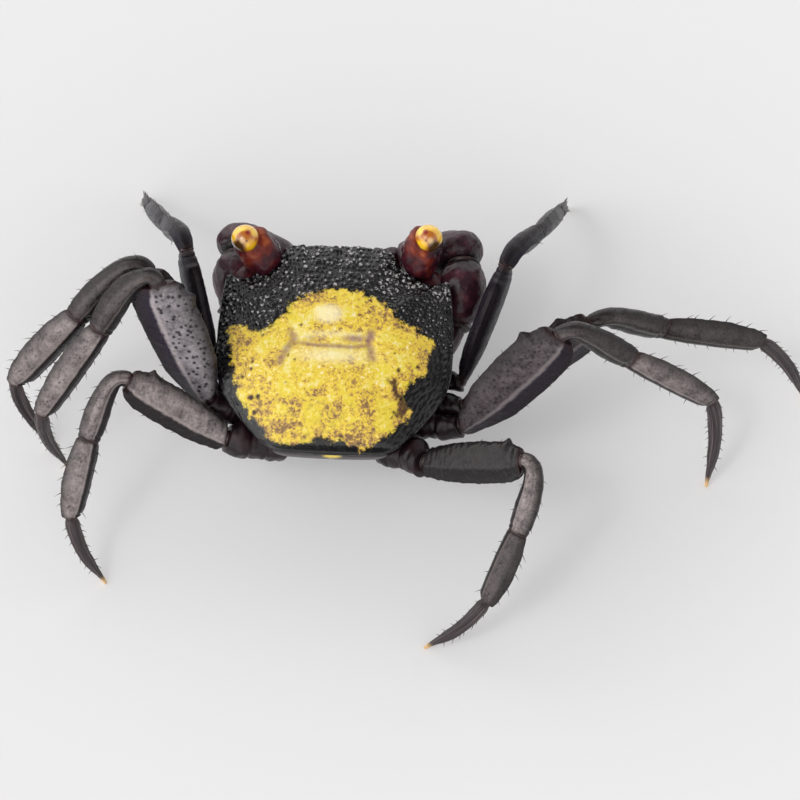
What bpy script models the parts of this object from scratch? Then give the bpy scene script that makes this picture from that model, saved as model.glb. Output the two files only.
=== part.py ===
"""A land crab of the vampire crab kind, standing still with its claws folded.

The crab faces +Y, its right side is +X and the floor is z = 0.  Lengths below are in millimetres
and angles in degrees; MM turns them into metres when a piece is made.  The body pieces are
modelled in the body's own frame, whose origin is the middle of the carapace at the height of its
rim, and the walking legs in the room's, from the hips down to the floor.
"""
import bmesh
import bpy
from math import acos, asin, atan2, cos, degrees, pi, radians, sin
from mathutils import Matrix, Vector

MM = 0.001

# Body: how it stands, and its shell.
BODY_HEIGHT = 7.0
BODY_PITCH = 12.0
SHELL_RISE = 1.25
SHELL_BELLY = -2.4
STERNUM_BELLY = -3.9

# Air left between neighbouring pieces.
GAP = 0.07

# Walking legs: length of each segment, then breadth of merus, carpus, propodus and dactyl.
LENGTHS = {
    1: (2.0, 6.6, 3.5, 4.8, 3.9),
    2: (2.0, 8.3, 3.9, 5.8, 4.7),
    3: (2.0, 8.1, 3.7, 5.7, 4.8),
    4: (1.7, 6.5, 3.1, 4.1, 4.2),
}
BREADTHS = {
    1: (2.0, 1.3, 1.1, 0.75),
    2: (2.95, 1.5, 1.7, 0.85),
    3: (3.1, 1.5, 1.55, 0.85),
    4: (2.1, 1.35, 1.5, 0.8),
}
# Where each leg's base turns out from under the shell, on the right side of the body's frame.
HIPS = {
    1: (4.4, -0.25, -2.3),
    2: (4.6, -1.95, -2.2),
    3: (4.5, -3.1, -2.1),
    4: (3.6, -4.3, -2.0),
}
# The pose: (heading, lift) of base, merus, carpus and propodus, then the dactyl's heading.
# A heading of 0 is straight ahead, 90 straight out and 180 straight back.
POSE = {
    ("right", 1): ((108, 6), (23, 31), (28, -31), (17, -44), 9),
    ("right", 2): ((102, 12), (66, 28), (73, -33), (79, -27), 109),
    ("right", 3): ((100, 11), (67, 43), (87, -40), (91, -42), 182),
    ("right", 4): ((138, 17), (111, 28), (195, -42), (212, -48), 246),
    ("left", 1): ((117, 24), (18, 31), (25, -43), (20, -46), 15),
    ("left", 2): ((83, -2), (50, 55), (122, -39), (111, -53), 234),
    ("left", 3): ((78, 30), (52, 55), (124, -56), (131, -47), 250),
    ("left", 4): ((98, 14), (79, 30), (153, -33), (165, -42), 223),
}
SIDES = {"right": 1, "left": -1}
TIP_HEIGHT = 0.05
# A knee's bend, in degrees, at which it starts to fold back, and how much further it can fold.
OPEN_KNEE = 50
FOLD_RANGE = 76

# Claw arms in the body's frame: arm root, arm end, wrist middle, palm root and finger tips.
CLAW_ARMS = {
    "right": ((4.6, 0.1, -3.3), (5.9, 2.5, -2.7), (6.15, 3.9, -1.85), (6.25, 6.2, -1.95),
              (1.0, 5.9, -5.3)),
    "left": ((-4.5, 0.2, -3.5), (-5.2, 2.9, -3.1), (-5.15, 4.25, -2.35), (-5.3, 6.35, -2.35),
             (-1.2, 5.7, -6.6)),
}
PALM_SHARE = 0.56
PALM_HEIGHT = 2.9
PALM_THICKNESS = 2.0

# Eyes in the body's frame: root of the stalk, and middle of the cornea.
EYES = {
    "right": ((3.55, 5.1, -0.95), (4.45, 5.62, 0.98)),
    "left": ((-3.65, 4.98, -0.95), (-4.69, 5.25, 0.98)),
}
CORNEA_RADIUS = 0.70
CORNEA_SEAT = 0.35
STALK_RADIUS = 0.95
STALK = ((0.0, 0.50), (0.12, 0.72), (0.34, 0.95), (0.58, 1.0), (0.82, 0.92), (0.96, 0.78))


def clear_scene():
    for thing in list(bpy.data.objects):
        bpy.data.objects.remove(thing, do_unlink=True)


def material(name, colour, roughness):
    made = bpy.data.materials.get(name)
    if made:
        return made
    made = bpy.data.materials.new(name)
    made.use_nodes = True
    shader = made.node_tree.nodes["Principled BSDF"]
    shader.inputs["Base Color"].default_value = (*colour, 1.0)
    shader.inputs["Roughness"].default_value = roughness
    shader.inputs["Metallic"].default_value = 0.0
    return made


def empty(name, parent=None, place=Matrix.Identity(4)):
    made = bpy.data.objects.new(name, None)
    bpy.context.collection.objects.link(made)
    made.parent = parent
    made.matrix_local = place
    return made


def piece(name, bm, place, parent, look):
    """Turn a bmesh in the parent's millimetres into an object whose own frame is `place`."""
    bmesh.ops.recalc_face_normals(bm, faces=bm.faces)
    bmesh.ops.transform(bm, matrix=Matrix.Scale(MM, 4) @ place.inverted(), verts=bm.verts)
    mesh = bpy.data.meshes.new(name)
    bm.to_mesh(mesh)
    bm.free()
    mesh.shade_smooth()
    mesh.set_sharp_from_angle(angle=radians(50))
    mesh.materials.append(look)
    made = bpy.data.objects.new(name, mesh)
    bpy.context.collection.objects.link(made)
    made.parent = parent
    made.matrix_local = Matrix.Translation(place.translation * MM) @ place.to_3x3().to_4x4()
    return made


def superellipse(angle, power):
    """Unit superellipse: (side, up) at an angle that starts at the top."""
    c, s = cos(angle), sin(angle)
    side = abs(s) ** (2 / power) * (1 if s >= 0 else -1)
    up = abs(c) ** (2 / power) * (1 if c >= 0 else -1)
    return side, up


def ring(centre, normal, side, up, down, half, count=10, power=2.0):
    """Section of a limb: `up` and `down` are its reach either way, `half` its half thickness."""
    across = (side - normal * side.dot(normal)).normalized()
    dorsal = across.cross(normal)
    points = []
    for step in range(count):
        x, z = superellipse(2 * pi * step / count, power)
        points.append(centre + across * (x * half) + dorsal * (z * (up if z > 0 else down)))
    return points


def loft(rings):
    """Closed body through a row of rings, each end closed by a fan about its middle."""
    bm = bmesh.new()
    rows = [[bm.verts.new(point) for point in points] for points in rings]
    count = len(rows[0])
    for first, second in zip(rows, rows[1:]):
        for step in range(count):
            after = (step + 1) % count
            bm.faces.new((first[step], first[after], second[after], second[step]))
    for row in (rows[0], rows[-1]):
        middle = bm.verts.new(sum((vert.co for vert in row), Vector()) / count)
        for step in range(count):
            bm.faces.new((row[step], row[(step + 1) % count], middle))
    return bm


def frame(origin, along, side):
    """Placement with +Y along a segment and +X across its broad faces."""
    across = (side - along * side.dot(along)).normalized()
    turn = Matrix((across, along, across.cross(along))).transposed()
    return Matrix.Translation(origin) @ turn.to_4x4()


def direction(heading, lift, hand):
    """Unit vector from a heading toward the leg's own side and a lift above level."""
    heading, lift = radians(heading), radians(lift)
    return Vector((hand * sin(heading) * cos(lift), cos(heading) * cos(lift), sin(lift)))


def between(first, second):
    return (first + second).normalized()


def curve_point(start, knee, end, t):
    """Point and direction on the quadratic curve that leaves `start` toward `knee`."""
    point = start * (1 - t) ** 2 + knee * (2 * t * (1 - t)) + end * t * t
    along = (knee - start) * (1 - t) + (end - knee) * t
    return point, along.normalized()


# ---------------------------------------------------------------------------------- walking legs
class Leg:
    """Joints of one walking leg, from the body out: base, hip, knee, wrist, ankle, tip."""

    def __init__(self, hand, number, body_place):
        self.hand = SIDES[hand]
        self.number = number
        self.name = f"leg{number}_{hand}"
        self.breadths = BREADTHS[number]
        lengths = LENGTHS[number]
        hip = HIPS[number]
        joints = [body_place @ Vector((self.hand * hip[0], hip[1], hip[2]))]
        *turns, last_heading = POSE[hand, number]
        for length, (heading, lift) in zip(lengths, turns):
            joints.append(joints[-1] + direction(heading, lift, self.hand) * length)
        drop = (joints[-1].z - TIP_HEIGHT) / lengths[4]
        last = direction(last_heading, -degrees(asin(drop)), self.hand)
        joints.append(joints[-1] + last * lengths[4])
        self.joints = joints
        self.along = [(b - a).normalized() for a, b in zip(joints, joints[1:])]
        reach = (joints[5] - joints[3]).normalized()
        self.side = reach.cross(self.along[1]).normalized()
        self.root = body_place @ Vector((self.hand * (hip[0] - 1.2), hip[1], hip[2] - 0.7))
        self.fold = max(0.0, degrees(acos(self.along[1].dot(self.along[2]))) - OPEN_KNEE) / FOLD_RANGE

    def dorsal(self, segment):
        along = self.along[segment]
        across = (self.side - along * self.side.dot(along)).normalized()
        return across.cross(along)

    def merus_end(self):
        """Middle of the merus's end face: the more the knee folds, the further it is set back."""
        back = 0.42 + 0.23 * self.fold
        out = 0.28 * self.breadths[0] * self.fold
        return self.joints[2] - self.along[1] * back + self.dorsal(1) * out


# Along the base: share of its curve, and radius; then how stout each leg's base is.
BASE = ((0.0, 0.48), (0.22, 0.56), (0.42, 0.52), (0.58, 0.44), (0.80, 0.50))
BASE_GIRTH = {1: 1.0, 2: 1.05, 3: 1.0, 4: 1.3}
HIP_RADIUS = 0.43


def leg_base(leg, parent, look):
    """Coxa, basis and ischium: a short bent limb from beneath the shell to the hip."""
    start, turn, hip = leg.root, leg.joints[0], leg.joints[1]
    leave = between(leg.along[0], leg.along[1])
    rings = []
    for t, radius in BASE:
        point, along = curve_point(start, turn, hip, t)
        radius *= BASE_GIRTH[leg.number]
        rings.append(ring(point, along, leg.side, radius, radius, radius, count=8))
    rings.append(ring(hip - leave * GAP / 2, leave, leg.side, HIP_RADIUS, HIP_RADIUS, HIP_RADIUS, count=8))
    place = frame(start, (hip - start).normalized(), leg.side)
    return piece(leg.name + "_base", loft(rings), place, parent, look)


# Along the merus: share of its length, reach of the dorsal and the ventral edge, thickness.
MERUS = (
    (0.04, 0.36, 0.38, 0.68),
    (0.14, 0.50, 0.62, 0.78),
    (0.31, 0.86, 0.92, 0.96),
    (0.60, 1.02, 1.00, 1.00),
    (0.79, 1.00, 0.97, 0.97),
    (0.860, 1.13, 0.93, 0.93),
    (0.885, 0.88, 0.91, 0.90),
    (0.955, 0.84, 0.72, 0.82),
    (1.00, 0.68, 0.48, 0.60),
)
MERUS_THICKNESS = {1: 1.25, 2: 1.1, 3: 1.15, 4: 1.2}
# How full the base of each leg's merus is: its first sections swell toward their full breadth.
FULLNESS = {1: 0.0, 2: 0.0, 3: 0.2, 4: 0.9}


def leg_merus(leg, parent, look):
    """Broad flat thigh with a tooth near the end of its upper edge."""
    start, end = leg.joints[1], leg.merus_end()
    along = (end - start).normalized()
    leave = between(leg.along[0], along)
    half, thick = leg.breadths[0] / 2, MERUS_THICKNESS[leg.number] / 2
    rings = [ring(start + leave * GAP / 2, leave, leg.side, HIP_RADIUS, HIP_RADIUS, HIP_RADIUS)]
    for t, up, down, side in MERUS:
        point = start.lerp(end - along * GAP / 2, t)
        if t < 0.5:
            full = FULLNESS[leg.number]
            up, down = up + (1 - up) * 0.6 * full, down + (1 - down) * 0.6 * full
        rings.append(ring(point, along, leg.side, up * half, down * half, side * thick, power=1.8))
    return piece(leg.name + "_merus", loft(rings), frame(start, along, leg.side), parent, look)


# Along the carpus: share of its curve, reach of its outer and inner edge, thickness.
CARPUS = (
    (0.18, 0.90, 0.34, 0.90),
    (0.45, 0.96, 0.60, 1.00),
    (0.75, 1.00, 0.96, 1.00),
    (0.93, 0.94, 0.94, 0.90),
)
CARPUS_THICKNESS = 1.15


def leg_carpus(leg, parent, look):
    """Short bent segment of the knee: it leaves the merus's end and turns down."""
    hip, knee, wrist = leg.joints[1], leg.joints[2], leg.joints[3]
    merus_end = leg.merus_end()
    leave = (merus_end - hip).normalized()
    start = merus_end + leave * GAP / 2
    arrive = between(leg.along[2], leg.along[3])
    half, thick = leg.breadths[1] / 2, CARPUS_THICKNESS / 2
    corner = knee + leave * (0.25 + 0.35 * leg.fold)
    rings = [ring(start, leave, leg.side, 0.80 * half, 0.44 * half, 0.74 * thick)]
    for t, outer, inner, side in CARPUS:
        point, along = curve_point(start, corner, wrist - arrive * GAP / 2, t)
        rings.append(ring(point, along, leg.side, outer * half, inner * half, side * thick))
    rings.append(ring(wrist - arrive * GAP / 2, arrive, leg.side, 0.82 * half, 0.82 * half, 0.78 * thick))
    return piece(leg.name + "_carpus", loft(rings), frame(start, leg.along[2], leg.side), parent, look)


PROPODUS = ((0.05, 0.84, 0.88), (0.26, 0.98, 1.0), (0.60, 1.0, 1.0), (0.86, 0.84, 0.9), (0.96, 0.74, 0.8))
PROPODUS_THICKNESS = 0.95


def leg_propodus(leg, parent, look):
    """Long, slightly tapering shin."""
    start, end = leg.joints[3], leg.joints[4]
    along = leg.along[3]
    leave, arrive = between(leg.along[2], along), between(along, leg.along[4])
    half, thick = leg.breadths[2] / 2, PROPODUS_THICKNESS / 2
    rings = [ring(start + leave * GAP / 2, leave, leg.side, 0.74 * half, 0.74 * half, 0.76 * thick)]
    for t, reach, side in PROPODUS:
        bow = leg.dorsal(3) * (0.12 * sin(pi * t))
        point = start.lerp(end, t) + bow
        rings.append(ring(point, along, leg.side, reach * half, reach * half, side * thick))
    rings.append(ring(end - arrive * GAP / 2, arrive, leg.side, 0.5 * half, 0.5 * half, 0.62 * thick))
    return piece(leg.name + "_propodus", loft(rings), frame(start, along, leg.side), parent, look)


DACTYL = ((0.07, 0.98), (0.28, 0.90), (0.52, 0.78), (0.76, 0.68), (0.93, 0.62), (0.98, 0.56))
DACTYL_BOW = 0.28


def leg_dactyl(leg, parent, look):
    """Curved pointed foot, cut level where it stands on the floor."""
    start, end = leg.joints[4], leg.joints[5]
    along = leg.along[4]
    leave = between(leg.along[3], along)
    half = leg.breadths[3] / 2
    rings = [ring(start + leave * GAP / 2, leave, leg.side, 0.72 * half, 0.72 * half, 0.72 * half, count=8)]
    for t, reach in DACTYL:
        point = start.lerp(end, t) + leg.dorsal(4) * (DACTYL_BOW * sin(pi * t))
        rings.append(ring(point, along, leg.side, reach * half, reach * half, reach * half, count=8))
    rings.append(ring(end + along * 0.08, along, leg.side, 0.38 * half, 0.38 * half, 0.38 * half, count=8))
    bm = loft(rings)
    everything = bm.verts[:] + bm.edges[:] + bm.faces[:]
    cut = bmesh.ops.bisect_plane(bm, geom=everything, plane_co=(0, 0, 0), plane_no=(0, 0, 1),
                                 clear_inner=True)["geom_cut"]
    bmesh.ops.edgeloop_fill(bm, edges=[edge for edge in cut if isinstance(edge, bmesh.types.BMEdge)])
    return piece(leg.name + "_dactyl", bm, frame(start, along, leg.side), parent, look)


def walking_legs(parent, body_place, looks):
    for hand in SIDES:
        for number in sorted(LENGTHS):
            leg = Leg(hand, number, body_place)
            leg_base(leg, parent, looks["joint"])
            leg_merus(leg, parent, looks["leg"])
            leg_carpus(leg, parent, looks["leg"])
            leg_propodus(leg, parent, looks["leg"])
            leg_dactyl(leg, parent, looks["leg"])


# --------------------------------------------------------------------------------------- body
# Right half of the shell's outline, from the middle of the brow back to the middle of the rear.
OUTLINE = (
    (0.00, 5.30), (0.40, 5.56), (1.00, 5.62), (1.50, 5.54), (1.80, 5.38), (2.15, 5.52), (2.56, 5.48),
    (2.80, 5.10), (3.05, 4.48), (3.70, 3.98), (4.50, 3.62), (5.05, 3.48), (5.66, 3.96),
    (5.80, 3.10), (5.93, 1.80), (6.00, 0.40), (5.99, -1.10), (5.80, -2.10),
    (5.25, -3.10), (4.50, -4.00), (3.75, -4.85), (3.10, -5.48), (1.60, -5.62), (0.0, -5.64),
)


def shell_outline():
    """Whole outline, clockwise from the middle of the brow."""
    right = [Vector((x, y)) for x, y in OUTLINE]
    left = [Vector((-x, y)) for x, y in OUTLINE[-2:0:-1]]
    return right + left


def rounded_box(bearing, half_width, front, back, power):
    """Point on a rounded oblong about the origin, in the direction of `bearing`."""
    x, y = cos(bearing), sin(bearing)
    reach = front if y > 0 else back
    size = (abs(x / half_width) ** power + abs(y / reach) ** power) ** (-1 / power)
    return Vector((x * size, y * size))


# Underside, as (height, half width, reach forward, reach back), from its middle out.
SHELL_UNDERSIDE = ((SHELL_BELLY, 3.2, 3.3, 3.3), (-1.95, 3.75, 3.6, 3.6), (-1.5, 4.45, 3.9, 4.0))
# Flank: height, and how far it has turned out from its own box to the rim's outline.
FLANK_BOX = (5.2, 4.2, 4.5)
SHELL_FLANK = ((-1.12, 0.35), (-0.55, 0.8))
FLANK_INSET = 0.985
SHELL_DOME = (1.0, 0.96, 0.88, 0.76, 0.60, 0.42, 0.20)
DOME_POWER = 2.6
RIM_HEIGHT = -0.12
BROW_DROOP = 0.18
SHELL_SQUARENESS = 3.0


def carapace(parent, look):
    """Square, gently domed shell: brow bent down in front, sides turned in underneath."""
    outline = shell_outline()
    bearings = [atan2(point.y, point.x) for point in outline]
    rings = []
    for z, half_width, front, back in SHELL_UNDERSIDE:
        row = []
        for bearing in bearings:
            flat = rounded_box(bearing, half_width, front, back, SHELL_SQUARENESS)
            row.append(Vector((flat.x, flat.y, z)))
        rings.append(row)
    for z, blend in SHELL_FLANK:
        row = []
        for point, bearing in zip(outline, bearings):
            flat = rounded_box(bearing, *FLANK_BOX, SHELL_SQUARENESS)
            mixed = flat.lerp(point * FLANK_INSET, blend)
            row.append(Vector((mixed.x, mixed.y, z)))
        rings.append(row)
    for scale in SHELL_DOME:
        row = []
        for point in outline:
            x, y = point * scale
            brow = max(0.0, point.y / 5.2) * max(0.0, 1 - abs(point.x) / 5.0)
            droop = RIM_HEIGHT - BROW_DROOP * brow * scale ** 8
            dome = SHELL_RISE * (1 - scale ** DOME_POWER)
            row.append(Vector((x, y, droop + dome)))
        rings.append(row)
    return piece("carapace", loft(rings), Matrix.Identity(4), parent, look)


# Breast plate, as (height, half width, reach forward, reach back).
STERNUM = ((-2.46, 3.0, 2.9, 3.7), (-3.1, 2.95, 3.0, 3.7), (-3.6, 2.6, 2.9, 3.4),
           (STERNUM_BELLY, 1.9, 2.4, 2.8))
STERNUM_CORNERS = 24
STERNUM_SQUARENESS = 2.6


def sternum(parent, look):
    """Breast plate between the leg roots."""
    rings = []
    for z, half_width, front, back in STERNUM:
        row = []
        for step in range(STERNUM_CORNERS):
            bearing = 2 * pi * (step + 0.5) / STERNUM_CORNERS
            flat = rounded_box(bearing, half_width, front, back, STERNUM_SQUARENESS)
            row.append(Vector((flat.x, flat.y, z)))
        rings.append(row)
    return piece("sternum", loft(rings), Matrix.Identity(4), parent, look)


# The tail flap, as (y, z, half width): from behind the shell's rear edge, round and forward below.
TAIL_FLAP = (
    (-5.64, -0.52, 2.9), (-5.68, -0.85, 3.0), (-5.55, -1.4, 2.8), (-5.25, -2.1, 2.4), (-4.88, -2.8, 2.0),
    (-4.42, -3.4, 1.8), (-3.7, -3.95, 1.65), (-2.6, -4.22, 1.45), (-1.2, -4.28, 1.15), (0.0, -4.27, 0.85),
    (0.9, -4.22, 0.5),
)
TAIL_THICKNESS = 0.5


def tail_flap(parent, look):
    """Abdomen, folded under the body."""
    rings = []
    for index, (y, z, half_width) in enumerate(TAIL_FLAP):
        before = TAIL_FLAP[max(index - 1, 0)]
        after = TAIL_FLAP[min(index + 1, len(TAIL_FLAP) - 1)]
        along = Vector((0, after[0] - before[0], after[1] - before[1])).normalized()
        side = Vector((0, -along.z, along.y))
        half = TAIL_THICKNESS / 2
        rings.append(ring(Vector((0, y, z)), along, side, half_width, half_width, half, count=12, power=3.0))
    return piece("abdomen", loft(rings), Matrix.Identity(4), parent, look)


# Mouth plate, as (height, distance from the middle, half width, how far forward it lies).
MOUTH_PLATE = ((-1.75, 1.15, 0.62, 4.22), (-2.2, 1.05, 0.88, 4.12), (-2.8, 0.98, 0.90, 3.95),
               (-3.4, 0.85, 0.75, 3.62), (-3.8, 0.75, 0.45, 3.3))
MOUTH_PLATE_HALF = 0.26


def mouth_plates(parent, look):
    """Third maxillipeds: two doors that close the mouth."""
    down, forward = Vector((0, 0, -1)), Vector((0, 1, 0))
    for hand, sign in SIDES.items():
        rings = []
        for z, middle, half, y in MOUTH_PLATE:
            centre = Vector((sign * middle, y, z))
            rings.append(ring(centre, down, forward, half, half, MOUTH_PLATE_HALF, count=10, power=2.8))
        piece(f"maxilliped_{hand}", loft(rings), Matrix.Identity(4), parent, look)


def eyes(parent, stalk_look, cornea_look):
    """Each eye is a thick stalk out of the socket and a ball that is cut flat where it sits on it."""
    upright = Vector((0, 0, 1))
    for hand, (root, ball) in EYES.items():
        root, ball = Vector(root), Vector(ball)
        along = (ball - root).normalized()
        seat = ball - along * (CORNEA_RADIUS * CORNEA_SEAT)
        rings = []
        for t, share in STALK:
            radius = share * STALK_RADIUS
            rings.append(ring(root.lerp(seat, t), along, upright, radius, radius, radius, count=12))
        piece(f"eyestalk_{hand}", loft(rings), frame(root, along, upright), parent, stalk_look)
        rings = []
        steps = 7
        first = acos(-CORNEA_SEAT + GAP / 2)
        for step in range(steps):
            angle = first * (1 - step / steps)
            centre = ball + along * (CORNEA_RADIUS * cos(angle))
            radius = CORNEA_RADIUS * sin(angle)
            rings.append(ring(centre, along, upright, radius, radius, radius, count=14))
        piece(f"cornea_{hand}", loft(rings), frame(ball, along, upright), parent, cornea_look)


# Right feeler: root, tip, and along it the share of its length and the radius there.
FEELER_ROOT = (1.95, 4.65, -1.55)
FEELER_TIP = (2.75, 5.95, -2.1)
FEELER = ((0.0, 0.30), (0.2, 0.42), (0.45, 0.36), (0.6, 0.28), (1.0, 0.25))


def antennae(parent, look):
    """Short feelers at the inner corner of each eye socket, under the brow."""
    upright = Vector((0, 0, 1))
    for hand, sign in SIDES.items():
        start, end = (Vector((sign * x, y, z)) for x, y, z in (FEELER_ROOT, FEELER_TIP))
        along = (end - start).normalized()
        rings = []
        for t, radius in FEELER:
            rings.append(ring(start.lerp(end, t), along, upright, radius, radius, radius, count=8))
        piece(f"antenna_{hand}", loft(rings), frame(start, along, upright), parent, look)


# ------------------------------------------------------------------------------------- claw arms
# Claw's arm and wrist: share of the length, and girth as a share of the reach up, down and aside.
ARM = ((0.0, 0.62), (0.15, 0.85), (0.45, 1.0), (0.8, 1.08), (0.94, 0.95), (1.0, 0.72))
ARM_REACH = (0.95, 0.80, 0.68)
WRIST = ((0.0, 0.62), (0.12, 0.86), (0.32, 1.02), (0.55, 1.06), (0.8, 0.95), (0.94, 0.78), (1.0, 0.6))
WRIST_REACH = (1.15, 1.10, 1.12)
# Palm: share of the claw's length, reach up, reach down, thickness.
PALM = ((-0.10, 0.50, 0.50, 0.6), (-0.02, 0.82, 0.80, 0.85), (0.12, 0.96, 0.95, 1.0),
        (0.30, 1.02, 1.0, 1.04), (0.46, 1.0, 1.0, 0.98), (0.54, 0.95, 0.96, 0.9))
# Fingers: share of the length, distance from the claw's middle line, half height.
FIXED_FINGER = ((0.58, 0.50, 0.42), (0.68, 0.52, 0.36), (0.82, 0.46, 0.29), (0.93, 0.34, 0.23),
                (1.0, 0.24, 0.14))
MOVABLE_FINGER = ((0.0, 0.36, 0.34), (0.07, 0.44, 0.42), (0.4, 0.44, 0.34), (0.75, 0.22, 0.25),
                  (0.97, 0.0, 0.16))
FINGER_SPREAD = 1.15
KNUCKLE_GAP = 0.16


def claw_arm(hand, parent, looks):
    """Arm, wrist, palm with its fixed finger, and movable finger of one folded claw."""
    root, arm_end, wrist, palm_root, tip = (Vector(point) for point in CLAW_ARMS[hand])
    sign = SIDES[hand]
    upright = Vector((0, 0, 1))

    along = (arm_end - root).normalized()
    side = upright.cross(along) * sign
    rings = []
    for t, share in ARM:
        up, down, half = (share * reach for reach in ARM_REACH)
        rings.append(ring(root.lerp(arm_end, t), along, side, up, down, half, count=12))
    piece(f"claw_{hand}_merus", loft(rings), frame(root, along, side), parent, looks["claw"])

    start = arm_end + along * GAP
    finish = palm_root - (palm_root - wrist).normalized() * (PALM_THICKNESS / 2 + GAP)
    bulge = wrist * 2 - (start + finish) / 2
    rings = []
    for t, share in WRIST:
        point, heading = curve_point(start, bulge, finish, t)
        if t == 0.0:
            heading = along
        up, down, half = (share * reach for reach in WRIST_REACH)
        rings.append(ring(point, heading, side, up, down, half, count=12))
    piece(f"claw_{hand}_carpus", loft(rings), frame(start, along, side), parent, looks["claw"])

    reach = tip - palm_root
    length = reach.length
    along = reach.normalized()
    side = Vector((0, 1, 0))
    if ring(palm_root, along, side, 1, 1, 1)[0].z < palm_root.z:
        side = -side
    dorsal = (side - along * side.dot(along)).normalized().cross(along)
    palm_end = palm_root + reach * PALM_SHARE
    half, thick = PALM_HEIGHT / 2, PALM_THICKNESS / 2
    rings = []
    for t, up, down, fat in PALM:
        rings.append(ring(palm_root + reach * t, along, side, up * half, down * half, fat * thick, count=12))
    # The fixed finger runs on along the palm's lower edge.
    for t, low, tall in FIXED_FINGER:
        centre = palm_root + reach * t - dorsal * (low * half * FINGER_SPREAD)
        rings.append(ring(centre, along, side, tall * half, tall * half, (0.30 + tall) * thick, count=12))
    piece(f"claw_{hand}_palm", loft(rings), frame(palm_root, along, side), parent, looks["claw"])

    rings = []
    for t, high, tall in MOVABLE_FINGER:
        onward = length * (1 - PALM_SHARE) * t + KNUCKLE_GAP
        centre = palm_end + along * onward + dorsal * (high * half * FINGER_SPREAD)
        rings.append(ring(centre, along, side, tall * half, tall * half, (0.26 + tall) * thick, count=10))
    piece(f"claw_{hand}_finger", loft(rings), frame(palm_end, along, side), parent, looks["claw"])


def stand_on_origin(crab):
    """Move the crab so that the middle of its box, at floor level, is the world's origin."""
    bpy.context.view_layer.update()
    points = []
    for thing in bpy.data.objects:
        if thing.type == "MESH":
            points += [thing.matrix_world @ vert.co for vert in thing.data.vertices]
    middle = [(min(p[axis] for p in points) + max(p[axis] for p in points)) / 2 for axis in (0, 1)]
    crab.location = (-middle[0], -middle[1], 0.0)


def build():
    clear_scene()
    looks = {
        "shell": material("black shell", (0.012, 0.011, 0.014), 0.3),
        "leg": material("grey leg cuticle", (0.075, 0.065, 0.072), 0.4),
        "joint": material("brown joint cuticle", (0.035, 0.014, 0.012), 0.4),
        "claw": material("purple claw cuticle", (0.03, 0.012, 0.028), 0.4),
        "stalk": material("red brown eye stalk", (0.13, 0.02, 0.012), 0.3),
        "cornea": material("yellow cornea", (0.8, 0.48, 0.02), 0.15),
    }
    body_place = Matrix.Translation((0, 0, BODY_HEIGHT)) @ Matrix.Rotation(radians(BODY_PITCH), 4, "X")
    crab = empty("crab")
    body = empty("body", crab, Matrix.Translation((0, 0, BODY_HEIGHT * MM)) @ body_place.to_3x3().to_4x4())
    carapace(body, looks["shell"])
    sternum(body, looks["joint"])
    tail_flap(body, looks["joint"])
    mouth_plates(body, looks["claw"])
    eyes(body, looks["stalk"], looks["cornea"])
    antennae(body, looks["stalk"])
    for hand in SIDES:
        claw_arm(hand, body, looks)
    walking_legs(crab, body_place, looks)
    stand_on_origin(crab)


build()
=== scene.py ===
"""The looks of a vampire crab, a small land crab, over its solids.

The pieces come in the order in which the animal is put together: back plate, underside, eyes, claws,
walking legs, bristles, and then the studio.  Shapes are worked out in millimetres and put in their
place in metres at the end of each section.
"""
from math import cos, pi, radians, sin

import bpy
import numpy as np
from mathutils import Matrix, Vector, kdtree, noise


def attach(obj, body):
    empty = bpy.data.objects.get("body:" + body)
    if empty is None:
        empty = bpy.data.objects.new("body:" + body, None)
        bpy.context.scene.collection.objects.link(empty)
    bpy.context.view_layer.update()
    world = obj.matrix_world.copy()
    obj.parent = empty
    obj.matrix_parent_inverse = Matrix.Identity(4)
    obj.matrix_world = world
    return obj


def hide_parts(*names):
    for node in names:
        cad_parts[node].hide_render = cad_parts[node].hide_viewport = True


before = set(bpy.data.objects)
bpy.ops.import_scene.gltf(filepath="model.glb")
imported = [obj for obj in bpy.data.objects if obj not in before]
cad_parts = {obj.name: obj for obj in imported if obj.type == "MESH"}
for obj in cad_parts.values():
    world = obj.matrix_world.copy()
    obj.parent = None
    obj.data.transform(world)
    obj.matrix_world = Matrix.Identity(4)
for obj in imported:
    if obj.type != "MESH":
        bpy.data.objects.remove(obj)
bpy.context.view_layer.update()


# -------------------------------------------------------------------------------- back plate
# The carapace is one plate of black cuticle, hard, polished and gently domed.  Round granules bead
# its front half, fine wrinkles cross its rear corners, and a patch of yellow pigment lies just under
# the surface.  Eyes, claws and legs are all hung from it or from the plates underneath.
MM = 0.001
NOSE_UP = radians(12)
SHELL_BELLY = 2.4  # from the shell's lowest point up to its rim
SHELL_VOXEL = 0.085
# Places on the shell are across and forward of its middle.  A mound or blot: how strong it is, how far
# out and how far forward its middle lies, and its half width and half length.
SWELLINGS = (
    (0.10, 0.0, 1.5, 2.3, 1.2),  # stomach
    (0.06, 0.0, -2.2, 1.6, 1.5),  # heart
    (0.07, 3.7, -1.0, 1.3, 1.9),  # gills
    (0.06, 0.85, 4.55, 0.55, 0.45),  # inner lobes of the brow
    (0.05, 2.2, 4.45, 0.36, 0.45),  # outer lobes of the brow
)
# Furrows run back from the brow's front: depth, how far out, and where each ends.
BROW_FRONT = 5.2
BROW_FURROWS = ((0.12, 0.0, 3.0), (0.08, 1.6, 4.1))
# The H of furrows that marks off the stomach: depth, width and line.
CROSS_FURROW = ((-1.85, -0.08), (-0.9, -0.2), (0.9, -0.24), (1.75, -0.12))
H_FURROWS = (
    (0.10, 0.22, CROSS_FURROW),
    (0.06, 0.25, ((-2.1, 0.9), (-1.95, 0.0), (-2.5, -1.1))),
    (0.06, 0.25, ((2.0, 0.9), (1.85, -0.05), (2.15, -1.1))),
)
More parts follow.
